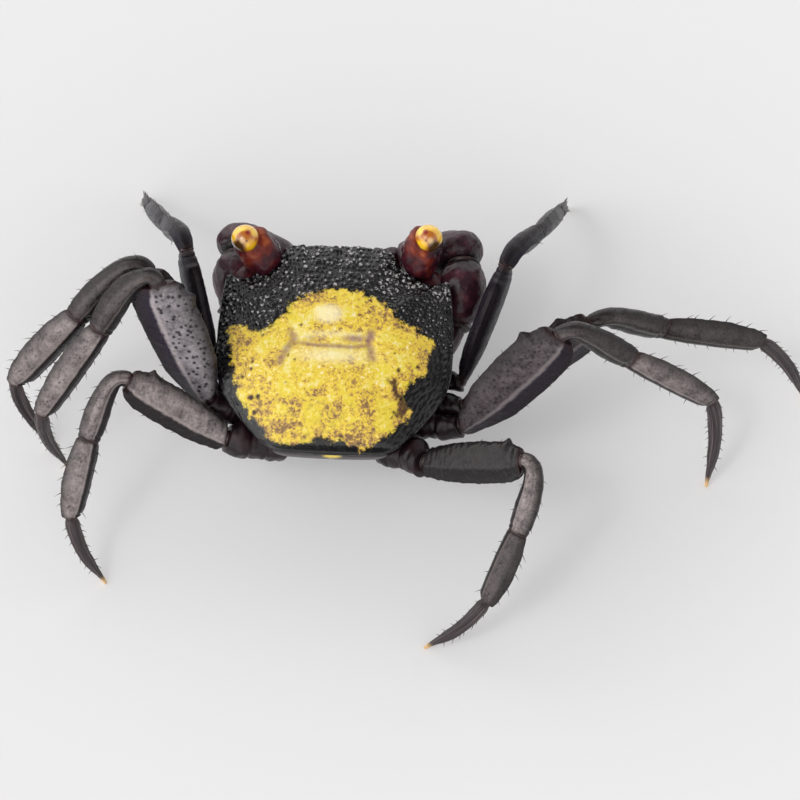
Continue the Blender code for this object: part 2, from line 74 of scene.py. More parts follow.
# The brow's edge: where it is pushed forward or, in a notch, back, by how much and how widely.
BROW_EDGE = (
    (0.0, 0.24, 0.30), (-1.80, 0.15, 0.26), (1.80, 0.15, 0.26),
    (0.0, -0.16, 0.06), (-1.68, -0.08, 0.06), (1.68, -0.08, 0.06),
)
REAR_RIM_HALF = 3.6
WRINKLE_ACROSS, WRINKLE_ALONG, WRINKLE_HEIGHT = 0.13, 0.3, 0.045
# Beads: spacing, radius, height and seed of their scatter, over the ground from low to high corner.
BEAD_HEIGHT = 0.095
BROAD_BEADS = (0.29, 0.15, BEAD_HEIGHT, 3)
FINE_BEADS = (0.19, 0.095, 0.045, 5)
BEADED_GROUND = ((-6.2, -1.0), (6.2, 5.9))
# Edge of the yellow patch, clockwise from the left shoulder.
YELLOW_EDGE = (
    (-5.3, 0.6), (-4.6, 0.75), (-3.7, 0.35), (-3.1, 0.8), (-2.5, 1.3), (-2.2, 2.0), (-1.2, 2.45), (0.0, 2.75),
    (1.3, 2.55), (2.6, 1.9), (3.2, 1.2), (4.0, 0.9), (4.85, 0.35), (4.8, -0.3), (4.6, -1.2), (3.95, -1.75),
    (3.45, -2.6), (3.85, -3.3), (3.35, -4.0), (2.5, -4.75), (1.65, -5.2), (0.8, -4.95), (-0.15, -4.85),
    (-1.4, -5.05), (-2.75, -5.0), (-3.3, -4.5), (-3.9, -3.85), (-4.5, -3.0), (-4.95, -1.75), (-5.1, -0.5),
)
# Small brown pits in the patch: place and radius.
PITS = (
    (-4.02, -1.09, 0.07), (-4.05, -1.46, 0.08), (-4.48, -1.84, 0.08), (-4.0, -2.87, 0.13),
    (-3.67, -2.83, 0.12), (-3.81, -3.58, 0.12), (-1.67, 0.80, 0.08), (3.24, -1.32, 0.10),
    (4.18, -1.04, 0.08), (3.0, -0.45, 0.05), (-2.3, -2.2, 0.05), (1.2, 1.4, 0.05),
    (-1.9, -1.0, 0.06), (-2.25, -0.75, 0.06),
)
# A brown smudge along the patch's right edge.
SMUDGE = ((2.95, -1.95), (3.15, -2.3), (3.40, -2.75), (3.62, -3.2), (3.25, -3.5))
# The mauve bar lies in the H: strength, width and line of its strokes, then the blots in it.
BAR_STROKES = (
    (0.8, 0.15, CROSS_FURROW),
    (0.75, 0.26, ((-2.15, 0.45), (-1.95, 0.1), (-2.25, -0.35), (-2.7, -1.1))),
    (0.85, 0.26, ((1.8, 0.5), (1.7, 0.0), (1.95, -0.8))),
)
BAR_BLOTS = ((0.9, 0.95, 0.16, 0.75, 0.24), (0.6, -1.1, 0.08, 0.6, 0.22))
PALE_BLOTS = ((0.7, -0.1, -0.75, 1.7, 0.36), (0.5, -0.1, 0.35, 1.6, 0.18))


def read_points(mesh):
    points = np.empty(len(mesh.vertices) * 3, np.float32)
    mesh.vertices.foreach_get("co", points)
    return points.reshape(-1, 3).astype(float)


def write_points(mesh, points):
    mesh.vertices.foreach_set("co", points.astype(np.float32).ravel())
    mesh.update()


def read_normals(mesh):
    normals = np.empty(len(mesh.vertices) * 3, np.float32)
    mesh.vertex_normals.foreach_get("vector", normals)
    return normals.reshape(-1, 3).astype(float)


def write_attribute(mesh, name, values):
    """Store one number, or three, at each point of the mesh for its material to read."""
    values = np.asarray(values, np.float32)
    kind, field = ("FLOAT_VECTOR", "vector") if values.ndim == 2 else ("FLOAT", "value")
    made = mesh.attributes.get(name) or mesh.attributes.new(name, kind, "POINT")
    made.data.foreach_set(field, values.ravel())


def select_only(thing):
    if bpy.context.object and bpy.context.object.mode != "OBJECT":
        bpy.ops.object.mode_set(mode="OBJECT")
    bpy.ops.object.select_all(action="DESELECT")
    thing.select_set(True)
    bpy.context.view_layer.objects.active = thing


def apply_modifier(thing, kind, **settings):
    select_only(thing)
    modifier = thing.modifiers.new(kind, kind)
    for name, value in settings.items():
        setattr(modifier, name, value)
    bpy.ops.object.modifier_apply(modifier=modifier.name)


def body_place():
    """From metres in the room to the body's own millimetres: origin mid-shell, at its rim, nose level."""
    level = Matrix.Rotation(-NOSE_UP, 4, "X") @ Matrix.Scale(1 / MM, 4)
    corners = np.array([level @ vert.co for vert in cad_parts["carapace"].data.vertices])
    low, high = corners.min(0), corners.max(0)
    middle = Vector(((low[0] + high[0]) / 2, (low[1] + high[1]) / 2, low[2] + SHELL_BELLY))
    return Matrix.Translation(-middle) @ level


def work_copy(node, name):
    """Copy a solid's mesh into the body's millimetres, its doubles merged and its faces paired."""
    made = bpy.data.objects.new(name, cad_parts[node].data.copy())
    bpy.context.collection.objects.link(made)
    made.data.materials.clear()
    made.data.transform(body)
    select_only(made)
    bpy.ops.object.mode_set(mode="EDIT")
    bpy.ops.mesh.select_all(action="SELECT")
    bpy.ops.mesh.customdata_custom_splitnormals_clear()
    bpy.ops.mesh.remove_doubles(threshold=0.001)
    bpy.ops.mesh.tris_convert_to_quads()
    bpy.ops.object.mode_set(mode="OBJECT")
    return made


def finish_piece(thing, place, look, slot, *nodes):
    """Smooth a piece, give it its material and set it in the crab, in place of its solids."""
    thing.data.transform(place.inverted())
    thing.data.shade_smooth()
    thing.data.materials.append(look)
    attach(thing, "root")
    if nodes:
        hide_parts(*nodes)


def linear(hex_colour):
    """Linear colour with alpha from an sRGB hex value."""
    channels = [int(hex_colour[start:start + 2], 16) / 255 for start in (1, 3, 5)]
    return [c / 12.92 if c <= 0.04045 else ((c + 0.055) / 1.055) ** 2.4 for c in channels] + [1.0]


def set_inputs(tree, node, inputs):
    """Set a node's inputs; each takes a value, a hex colour, a socket or a node's first output."""
    for name, value in inputs.items():
        if isinstance(value, bpy.types.Node):
            value = value.outputs[0]
        if isinstance(value, bpy.types.NodeSocket):
            tree.links.new(value, node.inputs[name])
        else:
            node.inputs[name].default_value = linear(value) if isinstance(value, str) else value


def add_node(tree, kind, inputs=None, stops=None, **settings):
    """Add a shader node with its settings, its inputs and, on a colour ramp, its stops."""
    made = tree.nodes.new("ShaderNode" + kind)
    for name, value in settings.items():
        setattr(made, name, value)
    set_inputs(tree, made, inputs or {})
    if stops:
        elements = made.color_ramp.elements
        while len(elements) < len(stops):
            elements.new(1.0)
        for element, (position, colour) in zip(elements, stops):
            element.position = position
            element.color = linear(colour)
    return made


def new_material(name):
    """A material, its nodes, its shader and the piece's own coordinates."""
    made = bpy.data.materials.new(name)
    made.use_nodes = True
    tree = made.node_tree
    return made, tree, tree.nodes["Principled BSDF"], add_node(tree, "TexCoord").outputs["Object"]


def lay_tints(tree, colour, *layers):
    """Lay tints over a colour: none where a layer's source is `bare`, its `most` where it is `full`."""
    for source, bare, full, most, tint in layers:
        mask = add_node(tree, "MapRange", {"Value": source, "From Min": bare, "From Max": full,
                                           "To Max": most})
        colour = add_node(tree, "Mix", {0: mask, 6: colour, 7: tint}, data_type="RGBA").outputs[2]
    return colour


def per(size):
    """Texture scale that makes a feature `size` millimetres across."""
    return 1 / (size * MM)


def smooth_step(low, high, values):
    share = np.clip((values - low) / (high - low), 0, 1)
    return share * share * (3 - 2 * share)


def bell(values, middle, width):
    return np.exp(-((values - middle) / width) ** 2)


def mound(across, forward, strength, middle, ahead, half_width, half_length):
    """Height of a soft round swelling, or strength of a soft blot."""
    return strength * np.exp(-((across - middle) / half_width) ** 2 - ((forward - ahead) / half_length) ** 2)


def closed_curve(corners, steps=10):
    """Smooth closed line through the corners."""
    corners = np.array(corners)
    before, after, further = np.roll(corners, 1, 0), np.roll(corners, -1, 0), np.roll(corners, -2, 0)
    rows = []
    for t in np.arange(steps) / steps:
        rows.append(0.5 * (2 * corners + (after - before) * t
                           + (2 * before - 5 * corners + 4 * after - further) * t ** 2
                           + (3 * corners - before - 3 * after + further) * t ** 3))
    return np.stack(rows, 1).reshape(-1, 2)


def line_distance(points, line, closed=False):
    """Distance from each point to a line of corners, on the flat."""
    line = np.asarray(line)
    ends = np.roll(line, -1, 0) if closed else line[1:]
    best = np.full(len(points), np.inf)
    for start, end in zip(line, ends):
        along = end - start
        share = np.clip((points - start) @ along / max(along @ along, 1e-12), 0, 1)
        best = np.minimum(best, np.linalg.norm(points - start - share[:, None] * along, axis=1))
    return best


def inside(points, line):
    """Which points lie within a closed line."""
    within = np.zeros(len(points), bool)
    for (x0, y0), (x1, y1) in zip(line, np.roll(line, -1, 0)):
        if y0 == y1:
            continue
        crosses = (y0 > points[:, 1]) != (y1 > points[:, 1])
        within ^= crosses & (points[:, 0] < (x1 - x0) * (points[:, 1] - y0) / (y1 - y0) + x0)
    return within


body = body_place()
yellow_line = closed_curve(YELLOW_EDGE, 6)


def yellow_depth(flat):
    """How far inside the yellow patch a point is, below zero outside it."""
    reach = line_distance(flat, yellow_line, closed=True)
    return np.where(inside(flat, yellow_line), reach, -reach)


def raise_granules(flat, zone, spacing, radius, height, seed):
    """Height of round beads scattered over a zone of the shell."""
    chance = np.random.default_rng(seed)
    (left, rear), (right, front) = BEADED_GROUND
    seats = []
    for row, y in enumerate(np.arange(rear, front, spacing * 0.87)):
        shift = spacing / 2 * (row % 2)
        for x in np.arange(left, right, spacing):
            stray_x, stray_y = chance.normal(0, spacing * 0.19, 2)
            seats.append((x + shift + stray_x, y + stray_y, 0))
    seats = np.array(seats)
    seats = seats[zone(seats[:, :2])]
    tree = kdtree.KDTree(len(seats))
    for index, seat in enumerate(seats):
        tree.insert(seat, index)
    tree.balance()
    sizes = chance.uniform(0.6, 1.12, len(seats))
    rise = np.zeros(len(flat))
    for index in np.nonzero(zone(flat, spacing))[0]:
        _, seat, reach = tree.find((flat[index, 0], flat[index, 1], 0))
        share = reach / (radius * sizes[seat])
        if share < 1:
            rise[index] = height * sizes[seat] * (1 - share * share) ** 0.8
    return rise


def front_zone(flat, margin=0.0):
    """The beaded front: broad beads near the brow and on the left, down to the yellow patch."""
    x, y = flat[:, 0], flat[:, 1]
    edge = np.where(x < 0.3, 0.9, 2.9 + 0.35 * np.sin(x * 2.1))
    return (y > edge - margin) & (yellow_depth(flat) < -0.06 + margin)


def fine_zone(flat, margin=0.0):
    """Finely beaded ground between the broad beads and the yellow patch."""
    return (flat[:, 1] > 0.2 - margin) & ~front_zone(flat) & (yellow_depth(flat) < -0.04 + margin)


def wrinkled_zone(flat, margin=0.0):
    """Black rear corners outside the yellow patch, where fine wrinkles run outward and forward."""
    x, y = abs(flat[:, 0]), flat[:, 1]
    return ((x > 3.2 - margin) | (y < -3.4)) & (y < 0.6 + margin) & (yellow_depth(flat) < margin)


def wave_noise(placed, size):
    return np.array([noise.noise(Vector(point) / size) for point in placed])


shell = work_copy("carapace", "carapace_plate")
apply_modifier(shell, "SUBSURF", levels=2, render_levels=2)
apply_modifier(shell, "REMESH", mode="VOXEL", voxel_size=SHELL_VOXEL)
apply_modifier(shell, "SMOOTH", factor=0.5, iterations=4)
# Faces that carry beads or wrinkles are split once more.
select_only(shell)
centres = np.array([face.center for face in shell.data.polygons])[:, :2]
upward = np.array([face.normal.z for face in shell.data.polygons])
carved = front_zone(centres, 0.15) | fine_zone(centres, 0.15) | wrinkled_zone(centres, 0.15)
shell.data.polygons.foreach_set("select", (upward > -0.1) & carved)
bpy.ops.object.mode_set(mode="EDIT")
bpy.ops.mesh.select_mode(type="FACE")
bpy.ops.mesh.subdivide(number_cuts=1)
bpy.ops.object.mode_set(mode="OBJECT")
apply_modifier(shell, "SMOOTH", factor=0.5, iterations=2)

points, normals = read_points(shell.data), read_normals(shell.data)
x, y, z = points.T
flat = points[:, :2]
depth = yellow_depth(flat)
rise = np.zeros(len(points))
for swelling in SWELLINGS:
    rise += mound(abs(x), y, *swelling)
for sink, out, end in BROW_FURROWS:
    rise -= sink * bell(abs(x), out, 0.13) * smooth_step(end, BROW_FRONT, y)
for sink, width, line in H_FURROWS:
    rise -= sink * bell(line_distance(flat, line), 0, width)
# A thin raised rim along each side and the rear, with a groove inside it.
rise -= 0.05 * bell(y, -5.12, 0.12) * (abs(x) < REAR_RIM_HALF)
rise += 0.05 * bell(y, -5.40, 0.10) * (abs(x) < REAR_RIM_HALF)
rise -= 0.05 * bell(abs(x), 5.62, 0.11) * smooth_step(-3.4, -2.6, y) * smooth_step(3.6, 3.0, y)
# Wrinkles are short narrow waves that slant across the rear corners.
zone = wrinkled_zone(flat) * smooth_step(0.6, 0.0, y) * smooth_step(-0.02, -0.3, depth)
zone *= smooth_step(-5.3, -4.9, y)
wrinkled = np.nonzero(zone > 0)[0]
slant = np.stack([(abs(x) * 0.86 - y * 0.5) / WRINKLE_ACROSS, (abs(x) * 0.5 + y * 0.86) / WRINKLE_ALONG,
                  np.sign(x) * 5], 1)[wrinkled]
zone *= smooth_step(-0.1, 0.4, normals[:, 2])
rise[wrinkled] += WRINKLE_HEIGHT * zone[wrinkled] * wave_noise(slant, 1.0)
beads = raise_granules(flat, front_zone, *BROAD_BEADS) + raise_granules(flat, fine_zone, *FINE_BEADS)
rise += beads * smooth_step(0.4, 0.8, normals[:, 2])
for pit_x, pit_y, size in PITS:
    rise -= mound(x, y, 0.035, pit_x, pit_y, size * 1.1, size * 1.1)
points += normals * (rise * smooth_step(-0.1, 0.35, normals[:, 2]))[:, None]
brow = smooth_step(4.5, 5.3, y)
for middle, push, width in BROW_EDGE:
    points[:, 1] += push * bell(x, middle, width) * brow
# Below each eye socket the cheek swells out over the claw.
cheek = mound(abs(x), y, 0.45, 4.7, 4.0, 0.9, 0.7) * bell(z, -1.0, 0.6)
points += normals * cheek[:, None]
write_points(shell.data, points)

bar, pale = np.zeros(len(points)), np.zeros(len(points))
for strength, width, line in BAR_STROKES:
    bar = np.maximum(bar, strength * bell(line_distance(flat, line), 0, width))
for blot in BAR_BLOTS:
    bar = np.maximum(bar, mound(x, y, *blot))
for blot in PALE_BLOTS:
    pale = np.maximum(pale, mound(x, y, *blot))
pale = np.maximum(pale, 0.8 * smooth_step(1.4, 0.5, np.hypot((x + 0.35) / 0.72, (y - 1.42) / 0.50)))
smudge = line_distance(flat, SMUDGE) + 0.30 * wave_noise(points, 0.20)
stains = 0.9 * smooth_step(0.26, 0.08, smudge)
for pit_x, pit_y, size in PITS:
    stains = np.maximum(stains, smooth_step(1.35, 0.75, np.hypot(x - pit_x, y - pit_y) / size))
# The pigment is thin toward the rear, along its own edge and on the right shoulder.
thin = np.maximum(smooth_step(-1.6, -3.6, y), 0.7 * smooth_step(0.9, 0.1, depth))
thin = np.maximum(thin, mound(x, y, 0.8, 3.0, 1.2, 0.7, 0.8))
# Painted glints: bead crowns are marked for pale chips, more strongly on the right shoulder.
glint_crowns = beads / BEAD_HEIGHT * (1 + 0.9 * smooth_step(1.5, 3.0, x) * smooth_step(-1.0, 0.5, y))
write_attribute(shell.data, "yellow", np.where(z < -0.9, -3.0, depth))
write_attribute(shell.data, "marks", np.stack([bar, pale, stains], 1))
write_attribute(shell.data, "thin", thin)
write_attribute(shell.data, "beads", glint_crowns * smooth_step(0.3, 0.7, normals[:, 2]))

# Black cuticle under a clear waxy layer, mirror-like between the beads.  The pigment of the patch lies
# in flecks of 0.1 to 0.4 mm, cream where the cuticle is thickest, ochre and a little brown where thin.
shell_look, tree, shader, here = new_material("black_cuticle_yellow_pigment")
yellow_node, marks_node, thin_node, glint_crown_node = (
    add_node(tree, "Attribute", attribute_name=name) for name in ("yellow", "marks", "thin", "beads"))
bar_share, pale_share, stain_share = add_node(tree, "SeparateXYZ", {0: marks_node.outputs["Vector"]}).outputs
ragged, clouds, flecks, glint_chips, grain = (
    add_node(tree, "TexNoise", {"Vector": here, "Scale": per(size), "Detail": detail, "Roughness": harshness,
                                "Distortion": swirl})
    for size, detail, harshness, swirl in (
        (0.42, 5.0, 0.7, 0.0), (1.1, 3.0, 0.5, 0.6), (0.20, 3.0, 0.75, 0.6), (0.12, 2.0, 0.5, 0.0),
        (0.16, 3.0, 0.7, 0.0)))
# The patch ends in a ragged edge.
ragged_shift = add_node(tree, "Math", {0: ragged, 1: -0.5}, operation="ADD")
ragged_edge = add_node(tree, "Math", {0: ragged_shift, 1: 1.3, 2: yellow_node.outputs["Fac"]},
                       operation="MULTIPLY_ADD")
yellow_mask = add_node(tree, "MapRange", {"Value": ragged_edge, "From Min": -0.08, "From Max": 0.10})
# How rich the pigment is: clouds, flecks and grit in it, less where the layer is thin.
level = 0.0
for source, weight in ((clouds, 0.7), (flecks, 1.1), (ragged, 0.45), (thin_node.outputs["Fac"], -0.10)):
    level = add_node(tree, "Math", {0: source, 1: weight, 2: level}, operation="MULTIPLY_ADD")
fleck_share = add_node(tree, "MapRange", {"Value": level, "From Min": 0.66, "From Max": 1.58})
pigment = add_node(tree, "ValToRGB", {"Fac": fleck_share}, stops=(
    (0.24, "#80603C"), (0.34, "#BC944E"), (0.42, "#DDBB42"), (0.54, "#EBCB3A"), (0.62, "#F0D87C"),
    (0.72, "#F8EACB")))
bar_noise = add_node(tree, "Math", {0: ragged, 1: bar_share}, operation="MULTIPLY")
patch_colour = lay_tints(
    tree, pigment, (clouds, 0.48, 0.60, 0.5, "#E2D034"), (pale_share, 0, 1, 1, "#F8EBBA"),
    (bar_noise, 0.10, 0.50, 0.9, "#8E6668"), (stain_share, 0, 1, 1, "#3A1710"))
# Painted glints: the crowns of the beads are painted pale in small chips.
glint_crown = add_node(tree, "MapRange", {"Value": glint_crown_node.outputs["Fac"], "From Min": 0.62, "From Max": 0.92,
                                    "To Max": 0.85})
glint_chip_share = add_node(tree, "MapRange", {"Value": glint_chips, "From Min": 0.46, "From Max": 0.62})
painted_glints = add_node(tree, "Math", {0: glint_crown, 1: glint_chip_share}, operation="MULTIPLY")
black = add_node(tree, "ValToRGB", {"Fac": clouds}, stops=((0.3, "#070608"), (0.7, "#100D10")))
colour = lay_tints(tree, black, (painted_glints, 0, 1, 1, "#C4BFBF"), (yellow_mask, 0, 1, 1, patch_colour))
gloss = add_node(tree, "MapRange", {"Value": yellow_mask, "To Min": 0.15, "To Max": 0.45})
bump = add_node(tree, "Bump", {"Height": grain, "Strength": 0.7, "Distance": 0.035 * MM})
set_inputs(tree, shader, {"Base Color": colour, "Roughness": gloss, "Normal": bump, "IOR": 1.56,
                          "Specular IOR Level": 0.36})
finish_piece(shell, body, shell_look, "black_shell", "carapace")


# --------------------------------------------------------------------------------- underside
# Behind the shell the abdomen turns under the body in six hinged plates; the breast plate, the
# sternum, carries the leg sockets, and two jointed mouth plates close the mouth like doors.
# All are thinner, browner cuticle than the back.
ABDOMEN_SEAMS = (0.13, 0.27, 0.42, 0.58, 0.76)  # shares of its length
ABDOMEN_MIDDLE = (-1.5, -1.2)  # of its curl, forward of mid-shell and above the rim
ABDOMEN_START, ABDOMEN_TURN = 0.17, 2.4  # of its curl, in radians
STERNUM_GROOVES = (1.6, 0.4, -0.8, -2.0, -3.0)
MOUTH_GROOVE = -2.75


def smooth_copy(node, name):
    """Copy a solid with its facets rounded off, and read its points and normals."""
    made = work_copy(node, name)
    apply_modifier(made, "SUBSURF", levels=3, render_levels=3)
    return made, read_points(made.data), read_normals(made.data)


def brown_cuticle(name, dark, light, spot=None, gleam=0.4):
    """Thin horny cuticle, brown to purple, mottled in patches of about 1 mm, with fine pores."""
    look, tree, shader, here = new_material(name)
    mottle = add_node(tree, "TexNoise", {"Vector": here, "Scale": per(0.9), "Detail": 4.0, "Roughness": 0.6})
    colour = add_node(tree, "ValToRGB", {"Fac": mottle}, stops=((0.35, dark), (0.68, light)))
    if spot:
        spot_node = add_node(tree, "Attribute", attribute_name="spot")
        edge = add_node(tree, "Math", {0: spot_node.outputs["Fac"], 1: mottle}, operation="MULTIPLY")
        colour = lay_tints(tree, colour, (edge, 0.18, 0.34, 1, spot))
    pores = add_node(tree, "TexNoise", {"Vector": here, "Scale": per(0.16), "Detail": 3.0, "Roughness": 0.7})
    bump = add_node(tree, "Bump", {"Height": pores, "Strength": 0.45, "Distance": 0.04 * MM})
    rough = add_node(tree, "MapRange", {"Value": mottle, "To Min": 0.22, "To Max": 0.46})
    set_inputs(tree, shader, {"Base Color": colour, "Normal": bump, "Roughness": rough, "IOR": 1.55,
                              "Specular IOR Level": gleam})
    return look


under_look = brown_cuticle("thin_brown_cuticle", "#120E0F", "#2A1F22", spot="#E2C640")

abdomen, points, normals = smooth_copy("abdomen", "abdomen_plates")
# The flap's own length, followed round from behind the shell's rear edge to its tip under the body.
turn = np.arctan2(points[:, 2] - ABDOMEN_MIDDLE[1], ABDOMEN_MIDDLE[0] - points[:, 1])
share = np.clip((ABDOMEN_START - turn) / ABDOMEN_TURN, 0, 1)
seam = np.min([abs(share - end) for end in ABDOMEN_SEAMS], 0)
points -= normals * (0.13 * bell(seam, 0, 0.012))[:, None]
points[:, 2] += 0.28 * smooth_step(0.14, 0.02, share)
points[:, 1] += 0.40 * smooth_step(0.55, 0.10, share)
write_points(abdomen.data, points)
write_attribute(abdomen.data, "spot", mound(points[:, 0], share, 1.0, 0.05, 0.0, 0.55, 0.095))
finish_piece(abdomen, body, under_look, "brown_joint_cuticle", "abdomen")

sternum, points, normals = smooth_copy("sternum", "sternum_plate")
grooves = sum(bell(points[:, 1], groove, 0.07) for groove in STERNUM_GROOVES)
points -= normals * (0.09 * grooves * smooth_step(1.2, 2.4, abs(points[:, 0])))[:, None]
write_points(sternum.data, points)
finish_piece(sternum, body, under_look, "brown_joint_cuticle", "sternum")

for hand in ("left", "right"):
    node = f"maxilliped_{hand}"
    plate, points, normals = smooth_copy(node, f"{node}_plate")
    points -= normals * (0.06 * bell(points[:, 2], MOUTH_GROOVE, 0.06))[:, None]
    write_points(plate.data, points)
    finish_piece(plate, body, under_look, "purple_claw_cuticle", node)


# -------------------------------------------------------------------------------------- eyes
# Each eye is a short fat stalk of clear red-brown cuticle that leans out of its socket, and on its
# end a round cornea: a smooth glassy ball over yellow pigment, with a curl of orange and a dark
# point.  A short ringed feeler, the antenna, stands at the inner corner of each socket.
CURL_SIDE = (0.02, -0.31, 0.95)
CHEEK_MIDDLE = (4.45, 3.6, -1.25)
CHEEK_SIZE = (1.0, 1.1, 0.75)
ANTENNA_RING = 0.24
# How far the foot of each stalk lies toward the middle of the brow.
STALK_FOOT = {"left": 0.20, "right": -0.16}


def fit_ball(points):
    """Middle and radius of the ball on which the points lie."""
    known = np.column_stack([2 * points, np.ones(len(points))])
    x, y, z, rest = np.linalg.lstsq(known, (points ** 2).sum(1), rcond=None)[0]
    return np.array((x, y, z)), (rest + x * x + y * y + z * z) ** 0.5


def unit(vector):
    return vector / np.linalg.norm(vector, axis=-1, keepdims=True)


def patch(plane, middle, size):
    """Soft round patch on the cornea, as a share of its radius."""
    return np.exp(-(np.hypot(plane[:, 0] - middle[0], plane[:, 1] - middle[1]) / size) ** 4)


# Clear cuticle over red tissue: light enters it, and its orange glow near the cornea is painted into the
# colour.
stalk_look, tree, shader, here = new_material("clear_red_brown_cuticle")
glow_node = add_node(tree, "Attribute", attribute_name="glow")
cloud = add_node(tree, "TexNoise", {"Vector": here, "Scale": per(0.55), "Detail": 3.0})
level = add_node(tree, "Math", {0: cloud, 1: 0.45, 2: glow_node.outputs["Fac"]}, operation="MULTIPLY_ADD")
tone = add_node(tree, "ValToRGB", {"Fac": level}, stops=(
    (0.28, "#220C18"), (0.50, "#45151C"), (0.74, "#762C1C"), (1.0, "#B0602A")))
grit = add_node(tree, "TexNoise", {"Vector": here, "Scale": per(0.2), "Detail": 3.0, "Roughness": 0.7})
bump = add_node(tree, "Bump", {"Height": grit, "Strength": 0.6, "Distance": 0.06 * MM})
set_inputs(tree, shader, {
    "Base Color": tone, "Normal": bump, "Roughness": 0.18, "Specular IOR Level": 0.18, "IOR": 1.5,
    "Subsurface Weight": 0.3, "Subsurface Radius": (1.0, 0.35, 0.2), "Subsurface Scale": 0.3 * MM,
    "Coat Weight": 0.06, "Coat Roughness": 0.05})

# Cornea: clear and wet over yellow pigment, which thins to amber below, where the stalk shows through.
cornea_look, tree, shader, here = new_material("yellow_cornea_glass")
curl_node = add_node(tree, "Attribute", attribute_name="curl")
clear_node = add_node(tree, "Attribute", attribute_name="clearness")
brown_share, red_share, highlight_share = add_node(tree, "SeparateXYZ", {0: curl_node.outputs["Vector"]}).outputs
low_share, point_share, under_share = add_node(tree, "SeparateXYZ", {0: clear_node.outputs["Vector"]}).outputs
cloud = add_node(tree, "TexNoise", {"Vector": here, "Scale": per(0.35), "Detail": 3.0})
yolk = add_node(tree, "ValToRGB", {"Fac": cloud}, stops=(
    (0.3, "#E5A912"), (0.5, "#F2BF16"), (0.75, "#F9D23A")))
colour = lay_tints(tree, yolk, (brown_share, 0, 1, 1, "#B4681E"), (low_share, 0, 1, 1, "#4A3014"),
                   (red_share, 0, 1, 1, "#8E2620"), (highlight_share, 0, 1, 1, "#EFC98E"),
                   (point_share, 0, 1, 1, "#43180F"), (under_share, 0, 1, 1, "#5A2418"))
set_inputs(tree, shader, {
    "Base Color": colour, "Roughness": 0.12, "IOR": 1.45, "Coat Weight": 1.0, "Coat Roughness": 0.02,
    "Subsurface Weight": 0.15, "Subsurface Radius": (1.0, 0.7, 0.2), "Subsurface Scale": 0.15 * MM})

for hand, sign in (("left", -1), ("right", 1)):
    guide = work_copy(f"cornea_{hand}", f"cornea_{hand}_guide")
    ball, radius = fit_ball(read_points(guide.data))
    bpy.data.objects.remove(guide, do_unlink=True)
    inward = np.array((-sign, 0.0, 0.0))

    stalk, points, normals = smooth_copy(f"eyestalk_{hand}", f"eyestalk_{hand}_cuticle")
    lean = unit(ball - points.mean(0))
    away = (points - ball) @ lean
    folds = 0.12 * wave_noise(points, 0.6) + 0.05 * wave_noise(points, 0.22)
    points += normals * (0.16 + folds)[:, None]
    points += smooth_step(-0.3, -1.6, away)[:, None] * (STALK_FOOT[hand] * inward - (0.0, 0.40, 0.0))
    # A collar grips the ball's lower edge, and an orange glow is painted on the stalk's inner side under it.
    points += normals * (0.05 * bell(away, -radius * 0.45, 0.10))[:, None]
    write_points(stalk.data, points)
    inner = (points - ball) @ inward
    glow = 0.50 * smooth_step(-1.5, -0.2, away) * smooth_step(-0.5, 0.9, inner)
    glow += 0.22 * bell(inner, 0, 0.5) + 0.25 * wave_noise(points, 0.45)
    write_attribute(stalk.data, "glow", glow + 0.05)
    finish_piece(stalk, body, stalk_look, "red_brown_stalk", f"eyestalk_{hand}")

    select_only(stalk)
    bpy.ops.mesh.primitive_uv_sphere_add(segments=80, ring_count=50, radius=radius, location=ball)
    cornea = bpy.context.object
    cornea.name = f"cornea_{hand}_ball"
    bpy.ops.object.transform_apply(location=True, rotation=True, scale=True)
    ray = (read_points(cornea.data) - ball) / radius
    forward = unit(np.array(CURL_SIDE))
    onward = unit(np.cross(forward, (1.0, 0.0, 0.0)))
    # Seen from the side of the curl, yellow shows in a round blob and in a crescent in front of it; the
    # rest is brown, with a red spot, a painted tan highlight, a dark point and a darker lower corner.
    plane = np.stack([ray @ inward, ray @ onward], 1)
    facing = (ray @ forward > -0.1)[:, None]
    blob = patch(plane, (0.46, -0.50), 0.42)
    crescent = smooth_step(0.56, 0.72, np.hypot(plane[:, 0], plane[:, 1] + 0.10))
    crescent *= smooth_step(-0.25, 0.2, plane[:, 1] - 0.3 * plane[:, 0])
    brown = (1 - blob) * (1 - crescent)
    painted_highlight = patch(plane, (-0.14, -0.16), 0.22) * (1 - blob)
    curl = np.stack([brown, patch(plane, (0.22, 0.42), 0.20), 0.75 * painted_highlight], 1)
    below = smooth_step(0.85, 0.45, np.hypot(plane[:, 0] + 0.60, plane[:, 1] + 0.75)) * brown
    under = smooth_step(0.0, -0.5, ray @ lean)
    clearness = np.stack([below, patch(plane, (0.16, -0.20), 0.08), under], 1)
    write_attribute(cornea.data, "curl", curl * facing)
    write_attribute(cornea.data, "clearness", np.maximum(clearness * facing, clearness * (0, 0, 1)))
    finish_piece(cornea, body, cornea_look, "yellow_cornea", f"cornea_{hand}")

    # The wall under the socket closes the gap between the shell's corner, the stalk and the claw.
    bpy.ops.mesh.primitive_uv_sphere_add(segments=64, ring_count=40, radius=1)
    cheek = bpy.context.object
    cheek.name = f"orbit_floor_{hand}"
    points = read_points(cheek.data) * CHEEK_SIZE + np.array(CHEEK_MIDDLE) * (sign, 1, 1)
    write_points(cheek.data, points + unit(points) * (0.06 * wave_noise(points, 0.5))[:, None])
    write_attribute(cheek.data, "glow", 0.18 + 0.2 * wave_noise(points, 0.6))
    finish_piece(cheek, body, stalk_look, "red_brown_stalk")

    feeler, points, normals = smooth_copy(f"antenna_{hand}", f"antenna_{hand}_cuticle")
    span = np.linalg.norm(points - points[points[:, 1].argmax()], axis=1)
    points -= normals * (0.035 * (0.5 + 0.5 * np.cos(2 * pi * span / ANTENNA_RING)))[:, None]
    write_points(feeler.data, points)
    write_attribute(feeler.data, "glow", np.full(len(points), 0.1))
    finish_piece(feeler, body, stalk_look, "red_brown_stalk", f"antenna_{hand}")


